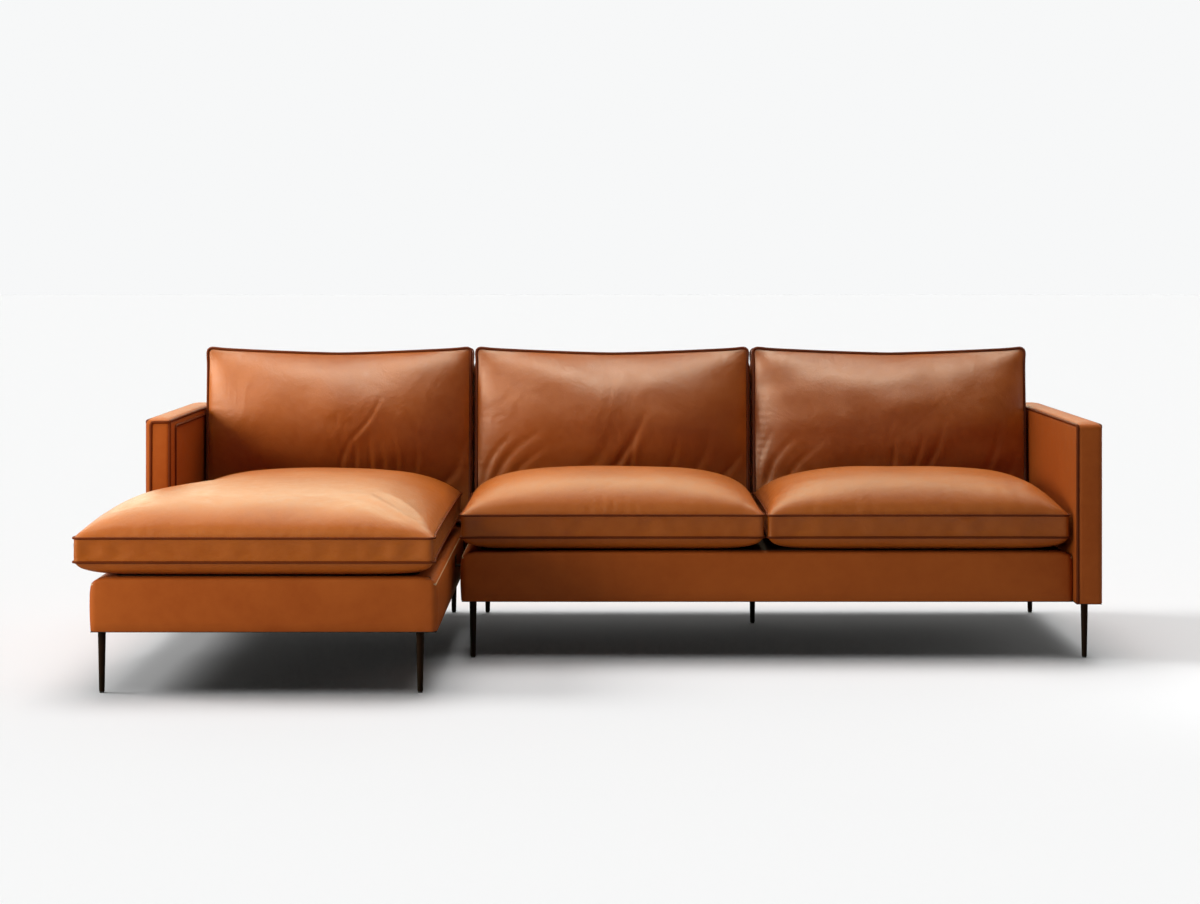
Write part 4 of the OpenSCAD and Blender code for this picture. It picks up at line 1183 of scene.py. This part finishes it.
studio = {
    "wall": (0.93, 0.937, 0.94, 1), "behind": 1.2, "ahead": 0.0, "above": 0.0,
    "floor": (0.88, 0.884, 0.886, 1), "floorHalf": 60.0,
    "floorBounce": (0.52, 0.505, 0.48, 1), "floorShine": (0.22, 0.18, 0.12, 1),
    # colour of the lamps that only shine
    "warm": {"body": (0.86, 1.06, 0.72), "backs": (0.98, 1.0, 0.78)},
    # what it lights, whether it only shines, where it comes from, power and angle
    "suns": {
        "bodyBack": ("body", False, (0.0, 0.45, 0.89), 3.7, 50),
        "bodyRight": ("body", False, (0.5, -0.2, 0.84), 0.2, 40),
        "backsTop": ("backs", False, (0.0, 0.0, 1.0), 3.1, 50),
        "backsRight": ("backs", False, (0.5, -0.2, 0.84), 0.3, 40),
        "groundBack": ("floor", False, (0.0, 0.35, 0.94), 1.05, 35),
        "groundLeft": ("floor", False, (-0.75, 0.1, 0.62), 1.37, 26),
        "groundTop": ("floor", False, (0.0, 0.02, 1.0), 1.14, 64),
        "bodyBackShine": ("body", True, (-0.1, 0.9, 0.43), 1.2, 40),
        "bodyTopShine": ("body", True, (0.0, 0.5, 0.87), 0.8, 30),
        "bodyTopLeftShine": ("body", True, (-0.5, 0.2, 0.84), 0.7, 30),
        "bodyFrontShine": ("body", True, (-0.5, -0.6, 0.62), 0.7, 30),
        "bodyLeftShine": ("body", True, (-0.9, -0.3, 0.3), 1.6, 36),
        "bodyRightShine": ("body", True, (0.55, -0.55, 0.62), 0.17, 30),
        "backsTopShine": ("backs", True, (0.0, -0.4, 0.9), 3.3, 30),
        "backsFrontShine": ("backs", True, (-0.5, -0.6, 0.62), 0.8, 30),
        "backsLeftShine": ("backs", True, (-0.9, -0.3, 0.3), 3.8, 36)},
    # what it lights, place, target, power, width and height
    "boxes": {
        "lowBox": ("body", (-3.0, -2.6, 1.3), (-0.6, -0.3, 0.3), 80, 1.4, 1.4),
        "overBox": ("body", (-0.9, -0.7, 2.6), (-0.7, 0.0, 0.4), 16, 2.6, 1.4),
        "sideBox": ("body", (-3.2, -0.5, 1.4), (0.0, 0.3, 0.5), 22, 1.4, 1.4),
        "groundBox": ("floor", (1.9, -0.7, 0.35), (0.7, 0.1, 0.0), 0.8, 0.8, 0.4),
        "backsBox": ("backs", (-3.2, -0.5, 1.4), (0.0, 0.3, 0.5), 90, 1.4, 1.4)},
}


def addLamp(label, kind, place, target, power):
    data = bpy.data.lights.new(label, kind)
    data.energy = power
    lamp = bpy.data.objects.new(label, data)
    lamp.location = place
    lamp.rotation_euler = (Vector(target) - Vector(place)).to_track_quat("-Z", "Y").to_euler()
    scene.collection.objects.link(lamp)
    return lamp


def makeStudio(look):
    world = bpy.data.worlds.new("studio")
    scene.world = world
    world.use_nodes = True
    tree = world.node_tree
    tree.nodes.clear()
    out = tree.nodes.new("ShaderNodeOutputWorld")
    direction = addNode(tree, "ShaderNodeTexCoord").outputs["Generated"]
    parts = addNode(tree, "ShaderNodeSeparateXYZ", {0: direction}).outputs
    round_ = mapRange(tree, parts[1], -0.5, 0.9, look["ahead"], look["behind"])
    height = mapRange(tree, parts[2], 0.1, 0.8)
    level = addNode(tree, "ShaderNodeMix", {"Factor": height, "A": round_,
                                            "B": look["above"]}).outputs[0]
    light = addNode(tree, "ShaderNodeBackground", {"Color": (1.0, 0.99, 0.97, 1),
                                                   "Strength": level})
    wall = addNode(tree, "ShaderNodeBackground", {"Color": look["wall"], "Strength": 1.0})
    path = tree.nodes.new("ShaderNodeLightPath")
    mix = addNode(tree, "ShaderNodeMixShader", {0: path.outputs["Is Camera Ray"],
                                                1: light.outputs[0], 2: wall.outputs[0]})
    tree.links.new(mix.outputs[0], out.inputs["Surface"])

    mesh = bpy.data.meshes.new("studioFloor")
    side = look["floorHalf"]
    mesh.from_pydata([(-side, -side, 0), (side, -side, 0), (side, side, 0), (-side, side, 0)],
                     [], [(0, 1, 2, 3)])
    floor = bpy.data.objects.new("studioFloor", mesh)
    scene.collection.objects.link(floor)
    material, tree, skin = newMaterial("paleFloor")
    path = tree.nodes.new("ShaderNodeLightPath")
    unseen = mixColor(tree, path.outputs["Is Glossy Ray"], look["floorBounce"],
                      look["floorShine"])
    setInputs(tree, skin, {
        "Base Color": mixColor(tree, path.outputs["Is Camera Ray"], unseen, look["floor"]),
        "Roughness": 1.0, "Specular IOR Level": 0.0})
    mesh.materials.append(material)

    # each lamp lights the floor, the back cushions or the rest of the sofa
    receivers = {n: bpy.data.collections.new(n + "Lit") for n in ("floor", "backs", "body")}
    for piece in scene.objects:
        if piece.type == "MESH":
            receivers["floor" if piece is floor else "backs" if "BackCushion" in piece.name
                      else "body"].objects.link(piece)
    for label, (lit, shines, fromWhere, power, angle) in look["suns"].items():
        lamp = addLamp(label, "SUN", Vector(fromWhere) * 4, (0, 0, 0), power)
        if shines:
            lamp.data.color = look["warm"][lit]
        lamp.data.angle = math.radians(angle)
        lamp.visible_glossy, lamp.visible_diffuse = shines, not shines
        lamp.light_linking.receiver_collection = receivers[lit]
    for label, (lit, place, target, power, width, height) in look["boxes"].items():
        lamp = addLamp(label, "AREA", place, target, power)
        lamp.data.shape = "RECTANGLE"
        lamp.data.size, lamp.data.size_y = width, height
        lamp.visible_glossy = False
        lamp.light_linking.receiver_collection = receivers[lit]
    scene.view_settings.view_transform = "Standard"


makeStudio(studio)
print("studio made")
